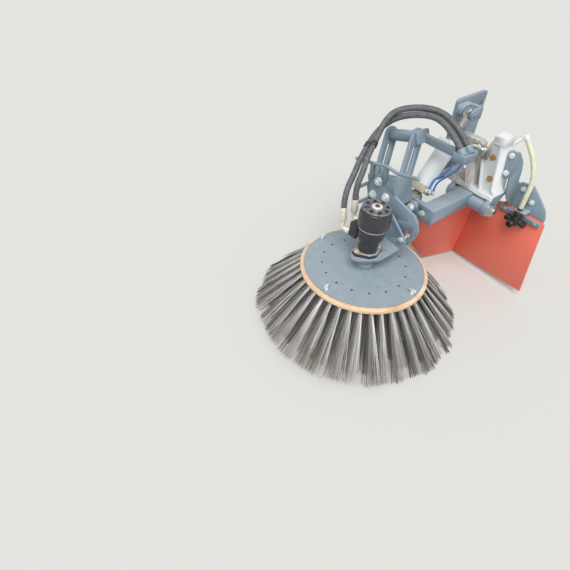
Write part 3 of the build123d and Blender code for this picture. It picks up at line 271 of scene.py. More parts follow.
def coverFinish(name, look):
    material, tree, shader = newMaterial(name)
    along = addNode(tree, "ShaderNodeUVMap", uv_map="route")
    parts = addNode(tree, "ShaderNodeSeparateXYZ", {0: along}).outputs
    turns = addNode(
        tree, "ShaderNodeMath", {0: parts["Y"], 1: 1000 / look["pitch"], 2: parts["X"]}, operation="MULTIPLY_ADD"
    )
    phase = addNode(tree, "ShaderNodeMath", {0: turns, 1: 2 * math.pi}, operation="MULTIPLY")
    ridge = addNode(tree, "ShaderNodeMath", {0: phase}, operation="SINE")
    place = addNode(tree, "ShaderNodeTexCoord").outputs["Object"]
    spots = addNode(
        tree, "ShaderNodeTexNoise", {"Vector": place, "Scale": 1000 / scuff["size"], "Detail": 6.0, "Roughness": 0.7}
    )
    clean, worn = scuff["edge"]
    rubbed = addNode(tree, "ShaderNodeMapRange", {0: spots, 1: clean, 2: worn, 3: 0.0, 4: scuff["most"]})
    colour = addNode(
        tree, "ShaderNodeMix", {0: rubbed, 6: hexColour(look["colour"]), 7: hexColour(look["worn"])}, data_type="RGBA"
    )
    relief = addNode(tree, "ShaderNodeBump", {"Height": ridge, "Strength": look["depth"], "Distance": 0.4 * mm})
    connect(
        tree, shader, {"Base Color": colour.outputs[2], "Roughness": look["roughness"], "Normal": relief, "IOR": 1.5}
    )
    return material


# birch plywood, sawn: plies of 2.8 mm show as bands, fibres are drawn 2.5 mm wide so that they show, brown where damp
plywood = {
    "light": "#F4DBBA", "dark": "#DDB48A", "wet": "#B98C66", "ply": 2.8, "fibre": 2.5, "fibreLength": 60,
    "fibreShare": 0.45, "toneEdge": (0.35, 0.65), "damp": 55, "dampEdge": (0.5, 0.75), "dampMost": 0.5, "depth": 0.3,
    "roughness": 0.62,
}


def plywoodFinish():
    material, tree, shader = newMaterial("birchPlywood")
    place = addNode(tree, "ShaderNodeTexCoord").outputs["Object"]
    level = addNode(tree, "ShaderNodeMapping", {"Vector": place, "Rotation": (-broomPitch, 0, 0)})
    layers = addNode(tree, "ShaderNodeMapping", {"Vector": level, "Scale": (6, 6, 1000 / plywood["ply"])})
    plies = addNode(tree, "ShaderNodeTexNoise", {"Vector": layers, "Scale": 1.0, "Detail": 1.0})
    thread = 1000 / plywood["fibre"]
    fibres = addNode(
        tree, "ShaderNodeMapping", {"Vector": place, "Scale": (thread, 1000 / plywood["fibreLength"], thread)}
    )
    grain = addNode(tree, "ShaderNodeTexNoise", {"Vector": fibres, "Scale": 1.0, "Detail": 4.0})
    both = addNode(tree, "ShaderNodeMix", {0: plywood["fibreShare"], 2: plies, 3: grain}, data_type="FLOAT")
    dark, light = plywood["toneEdge"]
    tone = addNode(tree, "ShaderNodeMapRange", {0: both, 1: dark, 2: light})
    wood = addNode(
        tree, "ShaderNodeMix", {0: tone, 6: hexColour(plywood["dark"]), 7: hexColour(plywood["light"])},
        data_type="RGBA",
    )
    damp = addNode(tree, "ShaderNodeTexNoise", {"Vector": place, "Scale": 1000 / plywood["damp"], "Detail": 5.0})
    dry, wet = plywood["dampEdge"]
    soaked = addNode(tree, "ShaderNodeMapRange", {0: damp, 1: dry, 2: wet, 3: 0.0, 4: plywood["dampMost"]})
    colour = addNode(
        tree, "ShaderNodeMix", {0: soaked, 6: wood.outputs[2], 7: hexColour(plywood["wet"])}, data_type="RGBA"
    )
    relief = addNode(tree, "ShaderNodeBump", {"Height": both, "Strength": plywood["depth"], "Distance": 0.5 * mm})
    connect(tree, shader, {"Base Color": colour.outputs[2], "Roughness": plywood["roughness"], "Normal": relief})
    return material


# rolled flat spring steel wire with a soft gloss: each wire gets a random grey from near black to near white, partly
# its own tone and partly painted highlight and shade among the wires; rust comes in towards the tips
springWire = {
    "dark": "#4C4A48", "light": "#FBF9F6", "rust": "#9C8371", "patch": 60, "rustEdge": (0.34, 0.62), "rustMost": 0.5,
    "metal": 0.55, "roughness": 0.42,
}


def wireFinish():
    material, tree, shader = newMaterial("flatSpringWire")
    ownToneAndLight = addNode(tree, "ShaderNodeAttribute", attribute_name="wireShade").outputs["Fac"]
    along = addNode(tree, "ShaderNodeAttribute", attribute_name="wireAlong").outputs["Fac"]
    grey = addNode(
        tree, "ShaderNodeMix", {0: ownToneAndLight, 6: hexColour(springWire["dark"]), 7: hexColour(springWire["light"])},
        data_type="RGBA",
    )
    place = addNode(tree, "ShaderNodeTexCoord").outputs["Object"]
    patch = addNode(tree, "ShaderNodeTexNoise", {"Vector": place, "Scale": 1000 / springWire["patch"], "Detail": 4.0})
    reach = addNode(tree, "ShaderNodeMath", {0: along, 1: patch}, operation="MULTIPLY")
    clean, foul = springWire["rustEdge"]
    rusty = addNode(tree, "ShaderNodeMapRange", {0: reach, 1: clean, 2: foul, 3: 0.0, 4: springWire["rustMost"]})
    colour = addNode(
        tree, "ShaderNodeMix", {0: rusty, 6: grey.outputs[2], 7: hexColour(springWire["rust"])}, data_type="RGBA"
    )
    connect(
        tree, shader,
        {"Base Color": colour.outputs[2], "Metallic": springWire["metal"], "Roughness": springWire["roughness"]},
    )
    return material


# moulded nylon, its spark-eroded grain drawn at 1.5 mm so that it shows: matt and even under a thin film of dust
nylonLooks = {
    "blackNozzleNylon": dict(colour="#1D1D20", roughness=0.42),
    "whitePlugNylon": dict(colour="#E6E6E0", roughness=0.40),
}
nylonFilm = {"colour": "#8E857A", "grain": 1.5, "depth": 0.1, "patch": 12, "edge": (0.5, 0.75), "most": 0.3}


def nylonFinish(name, look):
    material, tree, shader = newMaterial(name)
    place = addNode(tree, "ShaderNodeTexCoord").outputs["Object"]
    grain = addNode(tree, "ShaderNodeTexNoise", {"Vector": place, "Scale": 1000 / nylonFilm["grain"], "Detail": 2.0})
    film = addNode(tree, "ShaderNodeTexNoise", {"Vector": place, "Scale": 1000 / nylonFilm["patch"], "Detail": 5.0})
    clean, laden = nylonFilm["edge"]
    dusty = addNode(tree, "ShaderNodeMapRange", {0: film, 1: clean, 2: laden, 3: 0.0, 4: nylonFilm["most"]})
    colour = addNode(
        tree, "ShaderNodeMix",
        {0: dusty, 6: hexColour(look["colour"]), 7: hexColour(nylonFilm["colour"])}, data_type="RGBA",
    )
    relief = addNode(tree, "ShaderNodeBump", {"Height": grain, "Strength": nylonFilm["depth"], "Distance": 0.3 * mm})
    connect(tree, shader, {"Base Color": colour.outputs[2], "Roughness": look["roughness"], "Normal": relief})
    return material


finishes = {"birchPlywood": plywoodFinish(), "flatSpringWire": wireFinish()}
for looks, makeFinish in (
    (paintLooks, paintedFinish), (metalLooks, metalFinish), (coverLooks, coverFinish), (nylonLooks, nylonFinish),
):
    finishes.update({name: makeFinish(name, look) for name, look in looks.items()})

slotFinish = {
    "blue_paint": "greyBluePowderCoat", "white_casting": "whiteEnamelledCasting", "brass_bolt": "yellowZincPlate",
    "zinc": "brightZincPlate", "orange_sheet": "orangeSheetEnamel", "black_hose": "blackHoseRubber",
    "pale_hose": "paleWaterHosePvc", "nozzle_brass": "yellowZincPlate", "nozzle_plastic": "blackNozzleNylon",
    "cylinder_paint": "paleCylinderEnamel", "bright_steel": "groundSteelRod", "air_tube": "blueAirTubePolyamide",
    "motor_paint": "blackMotorEnamel", "ring_wood": "birchPlywood", "bristle_steel": "flatSpringWire",
}
# nodes whose surface differs from the usual one of their slot
ownFinish = {
    "hose_union": "greyBluePowderCoat", "broom_hub": "greyBluePowderCoat", "spray_tee": "whitePlugNylon",
    "air_fittings": "brightZincPlate", "hose_ends": "matZincSleeve", "hinge_pin": "groundSteelRod",
    "console_ports": "groundSteelRod",
}
for node, obj in frame["nodes"].items():
    obj.data.materials.clear()
    obj.data.materials.append(finishes[slotFinish[nodeSlot[node]]])
print("materials made:", len(finishes))


def placed(name, mesh, body, node=None, finish=None):
    # a finished piece: rides on its body and may stand for a node
    obj = addObject(name, mesh)
    if finish:
        mesh.materials.clear()
        mesh.materials.append(finishes[finish])
    if body:
        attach(obj, body)
    if node:
        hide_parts(node)
    return obj


def evaluatedMesh(obj):
    # plain mesh of what the modifiers make; the working object goes
    bpy.context.view_layer.update()
    mesh = bpy.data.meshes.new_from_object(obj.evaluated_get(bpy.context.evaluated_depsgraph_get()))
    bpy.data.objects.remove(obj)
    return mesh


def easedMesh(mesh, width, angle, harden):
    obj = addObject("easing", mesh)
    bevel = obj.modifiers.new("easing", "BEVEL")
    bevel.width = width * mm
    bevel.segments = 2
    bevel.limit_method = "ANGLE"
    bevel.angle_limit = math.radians(angle)
    bevel.harden_normals = harden
    return evaluatedMesh(obj)


# the rigid steel and cast pieces keep their CAD shape and get eased edges: width of the easing in mm
easedEdges = {
    "chassis_plate": 1.0, "console_casting": 1.6, "guard_bracket": 1.2, "deflector_backing": 1.0,
    "deflector_front": 0.8, "deflector_rear": 0.8, "clamp_strip": 0.8, "arm_beam": 0.8, "arm_end_plate": 1.0,
    "cylinder_bracket": 1.0, "fork_left": 0.9, "fork_right": 0.9, "fork_back_plate": 0.9, "cross_tube": 0.8,
    "quadrant_plate": 0.9,
    "hose_carrier": 0.9, "hose_keeper": 0.9, "motor_bracket": 1.0, "motor_housing": 1.0, "motor_drum": 0.8,
    "motor_ports": 1.4, "cylinder_barrel": 0.6, "cylinder_caps": 1.6, "cylinder_rod": 0.6, "broom_hub": 0.8,
    "hose_union": 1.0, "head_bolts": 0.8, "hinge_pin": 1.0, "tilt_pin": 0.8, "tilt_clamp": 0.8,
    "hook_bolts": 0.6, "console_ports": 0.8, "hose_guard": 0.4, "hose_ends": 0.5, "spray_tee": 0.6,
    "air_fittings": 0.6, "broom_ring": 0.6, "spray_nozzles": 0.6,
}
# in degrees: faces that turn by less than flat are merged, edges over eased are eased, edges over sharp stay sharp
edgeAngles = {"flat": 0.4, "eased": 32, "sharp": 40}


def easedCopy(node, width):
    mesh = frame["nodes"][node].data.copy()
    work = bmesh.new()
    work.from_mesh(mesh)
    bmesh.ops.remove_doubles(work, verts=work.verts, dist=0.002 * mm)
    bmesh.ops.dissolve_limit(work, angle_limit=math.radians(edgeAngles["flat"]), verts=work.verts, edges=work.edges)
    work.to_mesh(mesh)
    work.free()
    mesh.polygons.foreach_set("use_smooth", [True] * len(mesh.polygons))
    mesh.set_sharp_from_angle(angle=math.radians(edgeAngles["eased"]))
    finished = easedMesh(mesh, width, edgeAngles["eased"], True)
    finished.set_sharp_from_angle(angle=math.radians(edgeAngles["sharp"]))
    return placed(node + "Eased", finished, nodeBody[node], node, ownFinish.get(node))


easedPieces = {node: easedCopy(node, width) for node, width in easedEdges.items()}


def paintWhere(node, finish, chosen):
    # second finish of an eased piece, on the faces that chosen picks out
    mesh = easedPieces[node].data
    mesh.materials.append(finishes[finish])
    for face in mesh.polygons:
        if chosen(face):
            face.material_index = 1


# the cylinder's lower end is bare cast aluminium, unlike the painted gland at its top
lowerEnd = {"below": -55}
paintWhere("cylinder_caps", "beigeCastAluminium", lambda face: face.center.z < lowerEnd["below"] * mm)

# the bearing ears under the casting's slab are painted like the arm
castingEars = {"below": -123.5}
paintWhere("console_casting", "greyBluePowderCoat", lambda face: face.center.z < castingEars["below"] * mm)

# the strap that holds the nozzles is painted steel; clear is the radius of the nozzle's own stem in it
strap = {"over": -149.0, "under": -140.0, "axis": (324, 2), "clear": 9.6, "flat": 0.9}


def onStrap(face):
    offStem = (face.center.xy - Vector(strap["axis"]) * mm).length > strap["clear"] * mm
    topFace = abs(face.normal.z) > strap["flat"] and face.center.z < strap["under"] * mm
    return face.center.z > strap["over"] * mm and (offStem or topFace)


paintWhere("spray_nozzles", "greyBluePowderCoat", onStrap)

# black sleeves hold the two hoses where they pass the guard rod
hoseClips = {"places": [(-88, -390, 48), (-66, -386, 60)], "reach": 17}
clipPlaces = [Vector(place) * mm for place in hoseClips["places"]]
paintWhere(
    "hose_guard", "blackMotorEnamel",
    lambda face: any((face.center - place).length < hoseClips["reach"] * mm for place in clipPlaces),
)

# the flange's top face is bare metal, polished by rinsing, and its pale colour is partly a painted sky reflection
flangeTop = {"height": 72, "within": 0.6}
intoBroom = broomFrame.inverted()
paintWhere(
    "motor_housing", "wornFlangeFaceAndReflection",
    lambda face: abs((intoBroom @ face.center).z - flangeTop["height"] * mm) < flangeTop["within"] * mm,
)

# the hub's foot over the plate stays slim; only its collar under the plate is wide
hubFoot = {"radius": 34, "over": -1}
for vertex in easedPieces["broom_hub"].data.vertices:
    onPlate = intoBroom @ vertex.co
    if onPlate.z > hubFoot["over"] * mm and onPlate.xy.length > hubFoot["radius"] * mm:
        slim = hubFoot["radius"] * mm / onPlate.xy.length
        vertex.co = broomFrame @ Vector((onPlate.x * slim, onPlate.y * slim, onPlate.z))
print("edges eased:", len(easedPieces))


def ringFaces(rings, sides):
    # faces of a skin over rings of points, with a cap at each end
    faces = []
    for i in range(rings - 1):
        for k in range(sides):
            n = (k + 1) % sides
            faces.append((i * sides + k, i * sides + n, (i + 1) * sides + n, (i + 1) * sides + k))
    return faces + [tuple(range(sides - 1, -1, -1)), tuple(range((rings - 1) * sides, rings * sides))]


def joinedMesh(meshes):
    whole = bmesh.new()
    for mesh in meshes:
        whole.from_mesh(mesh)
    result = bpy.data.meshes.new("joined")
    whole.to_mesh(result)
    whole.free()
    return result


def routeLine(points, perPoint=14):
    # the route's own smooth curve, read as a fine polyline
    curve = bpy.data.curves.new("route", "CURVE")
    curve.dimensions = "3D"
    curve.resolution_u = perPoint
    spline = curve.splines.new("NURBS")
    spline.points.add(len(points) - 1)
    for point, place in zip(spline.points, points):
        point.co = (place[0] * mm, place[1] * mm, place[2] * mm, 1.0)
    spline.order_u = 3
    spline.use_endpoint_u = True
    return [vertex.co.copy() for vertex in evaluatedMesh(addObject("route", curve)).vertices]


def tubeAlong(line, radius, sides=24):
    # closed tube round a polyline, with a UV map that counts turns across and metres along
    verts, lengths, length = [], [], 0.0
    side = (line[1] - line[0]).normalized().orthogonal().normalized()
    for i, centre in enumerate(line):
        before, after = line[max(i - 1, 0)], line[min(i + 1, len(line) - 1)]
        direction = (after - before).normalized()
        side = (side - direction * side.dot(direction)).normalized()
        up = direction.cross(side)
        length += (centre - before).length
        lengths.append(length)
        for k in range(sides):
            a = 2 * math.pi * k / sides
            verts.append(tuple(centre + (side * math.cos(a) + up * math.sin(a)) * radius))
    mesh = bpy.data.meshes.new("tube")
    mesh.from_pydata(verts, [], ringFaces(len(line), sides))
    layer = mesh.uv_layers.new(name="route")
    for face in mesh.polygons:
        closing = len(face.vertices) == 4 and any(v % sides == sides - 1 for v in face.vertices)
        for loop in face.loop_indices:
            ring, step = divmod(mesh.loops[loop].vertex_index, sides)
            layer.data[loop].uv = (1.0 if closing and step == 0 else step / sides, lengths[ring])
    mesh.polygons.foreach_set("use_smooth", [len(face.vertices) == 4 for face in mesh.polygons])
    return mesh


def laidHoses(name, routes, radius, node, slot, body=None):
    meshes = [tubeAlong(routeLine(route), radius * mm) for route in routes]
    return placed(name, joinedMesh(meshes), body, node, slotFinish[slot])


# hydraulic hoses of the motor: the two routes of each stretch
motorHose = {
    "radius": 10.5,
    "lower": [
        [(-17, -540, -109), (-28.9, -531.4, -61.2), (-46, -480, -10), (-70, -436, 22), (-88, -390, 48)],
        [(-9, -498, -87), (-15.8, -493.4, -37.7), (-19, -468, 4), (-45, -430, 36), (-66, -386, 60)],
    ],
    "overHead": [
        [
            (-88, -390, 48), (-100.9, -357, 66.6), (-98, -315, 99), (-67, -280, 131), (0, -252, 155), (62, -234, 159),
            (131, -232, 124.9), (165, -232, 94.9),
        ],
        [
            (-66, -386, 60), (-81.5, -353.6, 77.7), (-86, -329, 117), (-77, -290, 153), (-8, -238, 173),
            (62, -210, 168), (135, -207, 130.9), (169, -206, 99.9),
        ],
    ],
    "toConsole": [
        [(158, -178, 71.9), (151, -150, 65), (139, -122, 52), (129, -95, 40)],
        [(184, -178, 71.9), (178, -150, 65), (166, -122, 52), (156, -95, 40)],
    ],
}
motorHoses = laidHoses("motorHoses", motorHose["lower"], motorHose["radius"], "hoses_motor", "black_hose")
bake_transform(motorHoses)
laidHoses("overheadHoses", motorHose["overHead"], motorHose["radius"], "hoses_arm", "black_hose", "arm")
consoleHoses = laidHoses("consoleHoses", motorHose["toConsole"], motorHose["radius"], "hoses_console", "black_hose")
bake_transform(consoleHoses)

airTube = {
    "radius": 3.5,
    "routes": [
        [(100, -242, -83), (100, -242, -53), (127, -240, -17), (158, -236, 25.9), (158, -236, 55.9)],
        [(100, -216, -101), (100, -216, -69), (135, -217, -26), (176, -218, 23.9), (176, -218, 55.9)],
    ],
}
airTubes = laidHoses("airTubes", airTube["routes"], airTube["radius"], "air_tubes", "air_tube")
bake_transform(airTubes)

sprayHose = {
    "radius": 8.5,
    "routes": [[(324, 2, -135), (324, 2, -96), (320, 14, -38), (296, 22, 14), (268, 30, 48), (240, 30, 78)]],
}
laidHoses("sprayHose", sprayHose["routes"], sprayHose["radius"], "spray_hose", "pale_hose", "console")
print("hoses laid")


def newTree(name, counts, sizes):
    # geometry tree with named inputs for its counts, its sizes and its material
    tree = bpy.data.node_groups.new(name, "GeometryNodeTree")
    sockets = [("Geometry", "OUTPUT", "Geometry"), ("Geometry", "INPUT", "Geometry")]
    sockets += [(each, "INPUT", "Int") for each in counts] + [(each, "INPUT", "Float") for each in sizes]
    for label, side, kind in sockets + [("finish", "INPUT", "Material")]:
        tree.interface.new_socket(label, in_out=side, socket_type="NodeSocket" + kind)
    return tree, addNode(tree, "NodeGroupInput").outputs


def closeTree(tree, given, instances, **place):
    # real meshes out of the instances, put in place and given their material
    real = addNode(tree, "GeometryNodeRealizeInstances", {"Geometry": instances})
    if place:
        real = addNode(tree, "GeometryNodeTransform", {"Geometry": real, **place})
    coloured = addNode(tree, "GeometryNodeSetMaterial", {"Geometry": real, "Material": given["finish"]})
    addNode(tree, "NodeGroupOutput", {0: coloured})
    return tree


def runTree(tree, name, inputs, mesh=None):
    obj = addObject(name + "Work", mesh or bpy.data.meshes.new(name))
    modifier = obj.modifiers.new(name, "NODES")
    modifier.node_group = tree
    for item in tree.interface.items_tree:
        if item.in_out == "INPUT" and item.name in inputs:
            modifier[item.identifier] = inputs[item.name]
    return evaluatedMesh(obj)


inBroom = {"Translation": broomPlace["centre"], "Rotation": Euler((broomPitch, 0, 0))}

# broom wires: three rows of tufts under the ring, radii from the middle of the plate, first in degrees
wireRows = {
    "bristles_outer": dict(
        tufts=40, wires=32, seed=11, rootRadius=218, tipRadius=384, rootWidth=14, fan=54, depth=10, first=0
    ),
    "bristles_middle": dict(
        tufts=36, wires=32, seed=23, rootRadius=194, tipRadius=338, rootWidth=14, fan=52, depth=10, first=5
    ),
    "bristles_inner": dict(
        tufts=31, wires=28, seed=37, rootRadius=170, tipRadius=286, rootWidth=14, fan=50, depth=10, first=0
    ),
}
wireShape = {"width": 2.2, "thick": 0.8, "bow": 3.5, "rootHeight": -23, "tipHeight": -200, "uneven": 7.0}
# how far chance moves a wire in shares of its tuft's fan and depth, and a tuft in mm; bowAt is a share of the length
wireChance = {
    "spread": 0.5, "sway": 0.34, "crossing": 0.24, "rootDepth": 0.5, "tipDepth": 0.75, "tuftReach": 7, "bowAt": 0.55,
}


def wireTree():
    tree, given = newTree(
        "wireRow", ("tufts", "wires", "seed"),
        ("rootRadius", "tipRadius", "rootWidth", "fan", "depth", "first", *wireShape),
    )
    index = addNode(tree, "GeometryNodeInputIndex")
    total = addNode(tree, "ShaderNodeMath", {0: given["tufts"], 1: given["wires"]}, operation="MULTIPLY")
    share = addNode(tree, "ShaderNodeMath", {0: index, 1: given["wires"]}, operation="DIVIDE")
    tuft = addNode(tree, "ShaderNodeMath", {0: share}, operation="FLOOR")
    step = addNode(tree, "ShaderNodeMath", {0: 2 * math.pi, 1: given["tufts"]}, operation="DIVIDE")
    middle = addNode(tree, "ShaderNodeMath", {0: tuft, 1: step, 2: given["first"]}, operation="MULTIPLY_ADD")
    chances = []
    for k in range(4):
        seeded = addNode(tree, "ShaderNodeMath", {0: given["seed"], 1: float(k)}, operation="ADD")
        chance = addNode(tree, "FunctionNodeRandomValue", {2: -1.0, 3: 1.0, 7: index, 8: seeded}, data_type="FLOAT")
        chances.append(chance.outputs[1])
    across, inward, upward, crossing = chances
    sway, tuftReach = [
        addNode(tree, "FunctionNodeRandomValue", {2: -1.0, 3: 1.0, 7: tuft, 8: seed}, data_type="FLOAT").outputs[1]
        for seed in (given["seed"], total)
    ]
    ends = {}
    for end, radius, width, height in (
        ("root", "rootRadius", "rootWidth", "rootHeight"), ("tip", "tipRadius", "fan", "tipHeight"),
    ):
        wide = addNode(tree, "ShaderNodeMath", {0: given[width], 1: given[radius]}, operation="DIVIDE")
        swing = addNode(tree, "ShaderNodeMath", {0: across, 1: wireChance["spread"]}, operation="MULTIPLY")
        inOut = addNode(tree, "ShaderNodeMath", {0: inward, 1: given["depth"]}, operation="MULTIPLY")
        reach = addNode(
            tree, "ShaderNodeMath", {0: inOut, 1: wireChance[end + "Depth"], 2: given[radius]}, operation="MULTIPLY_ADD"
        )
        up = given[height]
        if end == "tip":
            for chance, most in ((sway, wireChance["sway"]), (crossing, wireChance["crossing"])):
                swing = addNode(tree, "ShaderNodeMath", {0: chance, 1: most, 2: swing}, operation="MULTIPLY_ADD")
            reach = addNode(
                tree, "ShaderNodeMath", {0: tuftReach, 1: wireChance["tuftReach"] * mm, 2: reach},
                operation="MULTIPLY_ADD",
            )
            up = addNode(tree, "ShaderNodeMath", {0: upward, 1: given["uneven"], 2: up}, operation="MULTIPLY_ADD")
        angle = addNode(tree, "ShaderNodeMath", {0: swing, 1: wide, 2: middle}, operation="MULTIPLY_ADD")
        flat = addNode(tree, "ShaderNodeCombineXYZ", {0: reach, 1: 0.0, 2: up})
        ends[end] = addNode(tree, "ShaderNodeVectorRotate", {"Vector": flat, "Angle": angle}, rotation_type="Z_AXIS")
    run = addNode(tree, "ShaderNodeVectorMath", {0: ends["tip"], 1: ends["root"]}, operation="SUBTRACT")
    length = addNode(tree, "ShaderNodeVectorMath", {0: run}, operation="LENGTH").outputs["Value"]
    outward = addNode(tree, "ShaderNodeVectorMath", {0: ends["root"], 1: (1.0, 1.0, 0.0)}, operation="MULTIPLY")
    aimed = addNode(tree, "FunctionNodeAlignRotationToVector", {"Vector": run}, axis="Z")
    turned = addNode(
        tree, "FunctionNodeAlignRotationToVector", {"Rotation": aimed, "Vector": outward}, axis="X", pivot_axis="Z"
    )
    bowed = addNode(tree, "ShaderNodeCombineXYZ", {0: given["bow"], 1: 0.0, 2: wireChance["bowAt"]})
    arc = addNode(
        tree, "GeometryNodeCurveQuadraticBezier",
        {"Resolution": 4, "Start": (0, 0, 0), "Middle": bowed, "End": (0, 0, 1)},
    )
    factor = addNode(tree, "GeometryNodeSplineParameter").outputs["Factor"]
    marked = addNode(
        tree, "GeometryNodeStoreNamedAttribute", {"Geometry": arc, "Name": "wireAlong", "Value": factor},
        data_type="FLOAT", domain="POINT",
    )
    flatWire = addNode(
        tree, "GeometryNodeCurvePrimitiveQuadrilateral", {"Width": given["thick"], "Height": given["width"]}
    )
    wire = addNode(tree, "GeometryNodeCurveToMesh", {"Curve": marked, "Profile Curve": flatWire, "Fill Caps": True})
    seats = addNode(tree, "GeometryNodePoints", {"Count": total, "Position": ends["root"], "Radius": mm})
    scale = addNode(tree, "ShaderNodeCombineXYZ", {0: 1.0, 1: 1.0, 2: length})
    grown = addNode(
        tree, "GeometryNodeInstanceOnPoints", {"Points": seats, "Instance": wire, "Rotation": turned, "Scale": scale}
    )
    # each wire gets a random grey: partly its own tone, partly painted highlight and shade among the wires
    shade = addNode(tree, "FunctionNodeRandomValue", {2: 0.0, 3: 1.0, 8: given["seed"]}, data_type="FLOAT").outputs[1]
    shaded = addNode(
        tree, "GeometryNodeStoreNamedAttribute", {"Geometry": grown, "Name": "wireShade", "Value": shade},
        data_type="FLOAT", domain="INSTANCE",
    )
    return closeTree(tree, given, shaded, **inBroom)


wires = wireTree()
for node, row in wireRows.items():
    inputs = {name: value * mm for name, value in {**row, **wireShape}.items()}
    inputs.update({name: row[name] for name in ("tufts", "wires", "seed")})
    inputs.update(first=math.radians(row["first"]), finish=finishes["flatSpringWire"])
    mesh = runTree(wires, node, inputs)
    placed(node + "Wires", mesh, "broom", node)
    print(node, "triangles", sum(len(face.vertices) - 2 for face in mesh.polygons))

# screw: domed hexagon head on a washer, with the end of the thread; sizes are shares of the head's corner radius
screwShape = {
    "washerRadius": 1.2, "washerThick": 0.16, "headHeight": 0.6, "domeFoot": 0.86, "domeTop": 0.72, "domeHeight": 0.07,
    "threadRadius": 0.5, "threadOut": 0.25,
}


def screwTree():
    tree, given = newTree("screws", (), screwShape)
    top = addNode(tree, "ShaderNodeMath", {0: given["washerThick"], 1: given["headHeight"]}, operation="ADD")
    parts = []
    for sides, radius, low, depth in (
        (32, given["washerRadius"], 0.0, given["washerThick"]),
        (6, 1.0, given["washerThick"], given["headHeight"]),
        (20, given["threadRadius"], top, given["threadOut"]),
    ):
        drum = addNode(tree, "GeometryNodeMeshCylinder", {"Vertices": sides, "Radius": radius, "Depth": depth})
        half = addNode(tree, "ShaderNodeMath", {0: depth, 1: 0.5, 2: low}, operation="MULTIPLY_ADD")
        lift = addNode(tree, "ShaderNodeCombineXYZ", {2: half})
        parts.append(addNode(tree, "GeometryNodeTransform", {"Geometry": drum, "Translation": lift}))
    dome = addNode(
        tree, "GeometryNodeMeshCone",
        {
            "Vertices": 24, "Radius Top": given["domeTop"], "Radius Bottom": given["domeFoot"],
            "Depth": given["domeHeight"],
        },
    )
    domeLift = addNode(tree, "ShaderNodeCombineXYZ", {2: top})
    parts.append(addNode(tree, "GeometryNodeTransform", {"Geometry": dome, "Translation": domeLift}))
    screw = addNode(tree, "GeometryNodeJoinGeometry", {0: parts})
    way = addNode(tree, "GeometryNodeInputNamedAttribute", {"Name": "way"}, data_type="FLOAT_VECTOR")
    size = addNode(tree, "GeometryNodeInputNamedAttribute", {"Name": "size"}, data_type="FLOAT")
    chance = addNode(tree, "FunctionNodeRandomValue", {2: 0.0, 3: 1.0, 8: 5}, data_type="FLOAT").outputs[1]
    aimed = addNode(tree, "FunctionNodeAlignRotationToVector", {"Vector": way}, axis="Z")
    spin = addNode(tree, "ShaderNodeCombineXYZ", {2: chance})
    turned = addNode(tree, "FunctionNodeRotateRotation", {0: aimed, 1: spin}, rotation_space="LOCAL")
    seated = addNode(
        tree, "GeometryNodeInstanceOnPoints",
        {"Points": given["Geometry"], "Instance": screw, "Rotation": turned, "Scale": size},
    )
    return closeTree(tree, given, seated)


screws = screwTree()


def screwMesh(name, seats, finish):
    # seats of (place in mm, way it points, radius of the head in mm)
    places, ways, sizes = zip(*seats)
    mesh = bpy.data.meshes.new(name)
    mesh.from_pydata([tuple(c * mm for c in place) for place in places], [], [])
    mesh.attributes.new("way", "FLOAT_VECTOR", "POINT").data.foreach_set("vector", [c for way in ways for c in way])
    mesh.attributes.new("size", "FLOAT", "POINT").data.foreach_set("value", [size * mm for size in sizes])
    return runTree(screws, name, dict(screwShape, finish=finishes[finish]), mesh)


def seatIn(turn, place, size):
    # seat of a screw that points along the Z of a turned frame
    seat = turn @ Vector([c * mm for c in place])
    return tuple(seat / mm), tuple(turn.to_3x3() @ Vector((0, 0, 1))), size


toFront = (0, -1, 0)
guardScrews = {"size": 8.5, "places": [(232, -20, 36), (235, -20, -28), (292, 34, -84), (340, 28, -112)]}
castingScrews = {"size": 8.8, "places": [(189, -58, 22), (205, -58, -52)]}
# the quadrant's screws are placed in the head, which is rolled in degrees about its foot
quadrantScrews = {
    "size": 13.5, "roll": 17.5, "foot": (124, -384, -238), "places": [(-79, 212), (-114, 158), (-49, 158)],
}
flangeScrews = {"size": 8.5, "across": (10.1, 43.8), "height": 72}

headRoll = math.radians(quadrantScrews["roll"])
footX, footY, footZ = quadrantScrews["foot"]
quadrantSeats = []
for out, up in quadrantScrews["places"]:
    x = footX + out * math.cos(headRoll) - up * math.sin(headRoll)
    z = footZ + out * math.sin(headRoll) + up * math.cos(headRoll)
    quadrantSeats.append(((x, footY, z), toFront, quadrantScrews["size"]))
flangeX, flangeY = flangeScrews["across"]
flangeSeats = [
    seatIn(broomFrame, (side * flangeX, side * flangeY, flangeScrews["height"]), flangeScrews["size"])
    for side in (-1, 1)
]
for name, body, node, slot, finish, seats in (
    ("consoleScrews", "console", "guard_bolts", "zinc", "brightZincPlate",
     [(place, toFront, guardScrews["size"]) for place in guardScrews["places"]]),
    ("castingScrews", "console", "casting_bolts", "brass_bolt", "yellowZincPlate",
     [(place, toFront, castingScrews["size"]) for place in castingScrews["places"]]),
    ("quadrantScrews", "arm", "quadrant_bolts", "zinc", "brightZincPlate", quadrantSeats),
    ("motorScrews", "motor", "motor_bolts", "zinc", "creamZincPlate", flangeSeats),
):
    placed(name, screwMesh(name, seats, finish), body, node)
print("screws set")


def latheMesh(name, profile, turn, sides=64):
    # profile of (radius, height) turned about the local Z and put in place by turn
    verts = []
    for radius, height in profile:
        for k in range(sides):
            a = 2 * math.pi * k / sides
            verts.append(tuple(turn @ Vector((radius * mm * math.cos(a), radius * mm * math.sin(a), height * mm))))
    mesh = bpy.data.meshes.new(name)
    mesh.from_pydata(verts, [], ringFaces(len(profile), sides))
    mesh.polygons.foreach_set("use_smooth", [len(face.vertices) == 4 for face in mesh.polygons])
    mesh.set_sharp_from_angle(angle=math.radians(35))
    return mesh


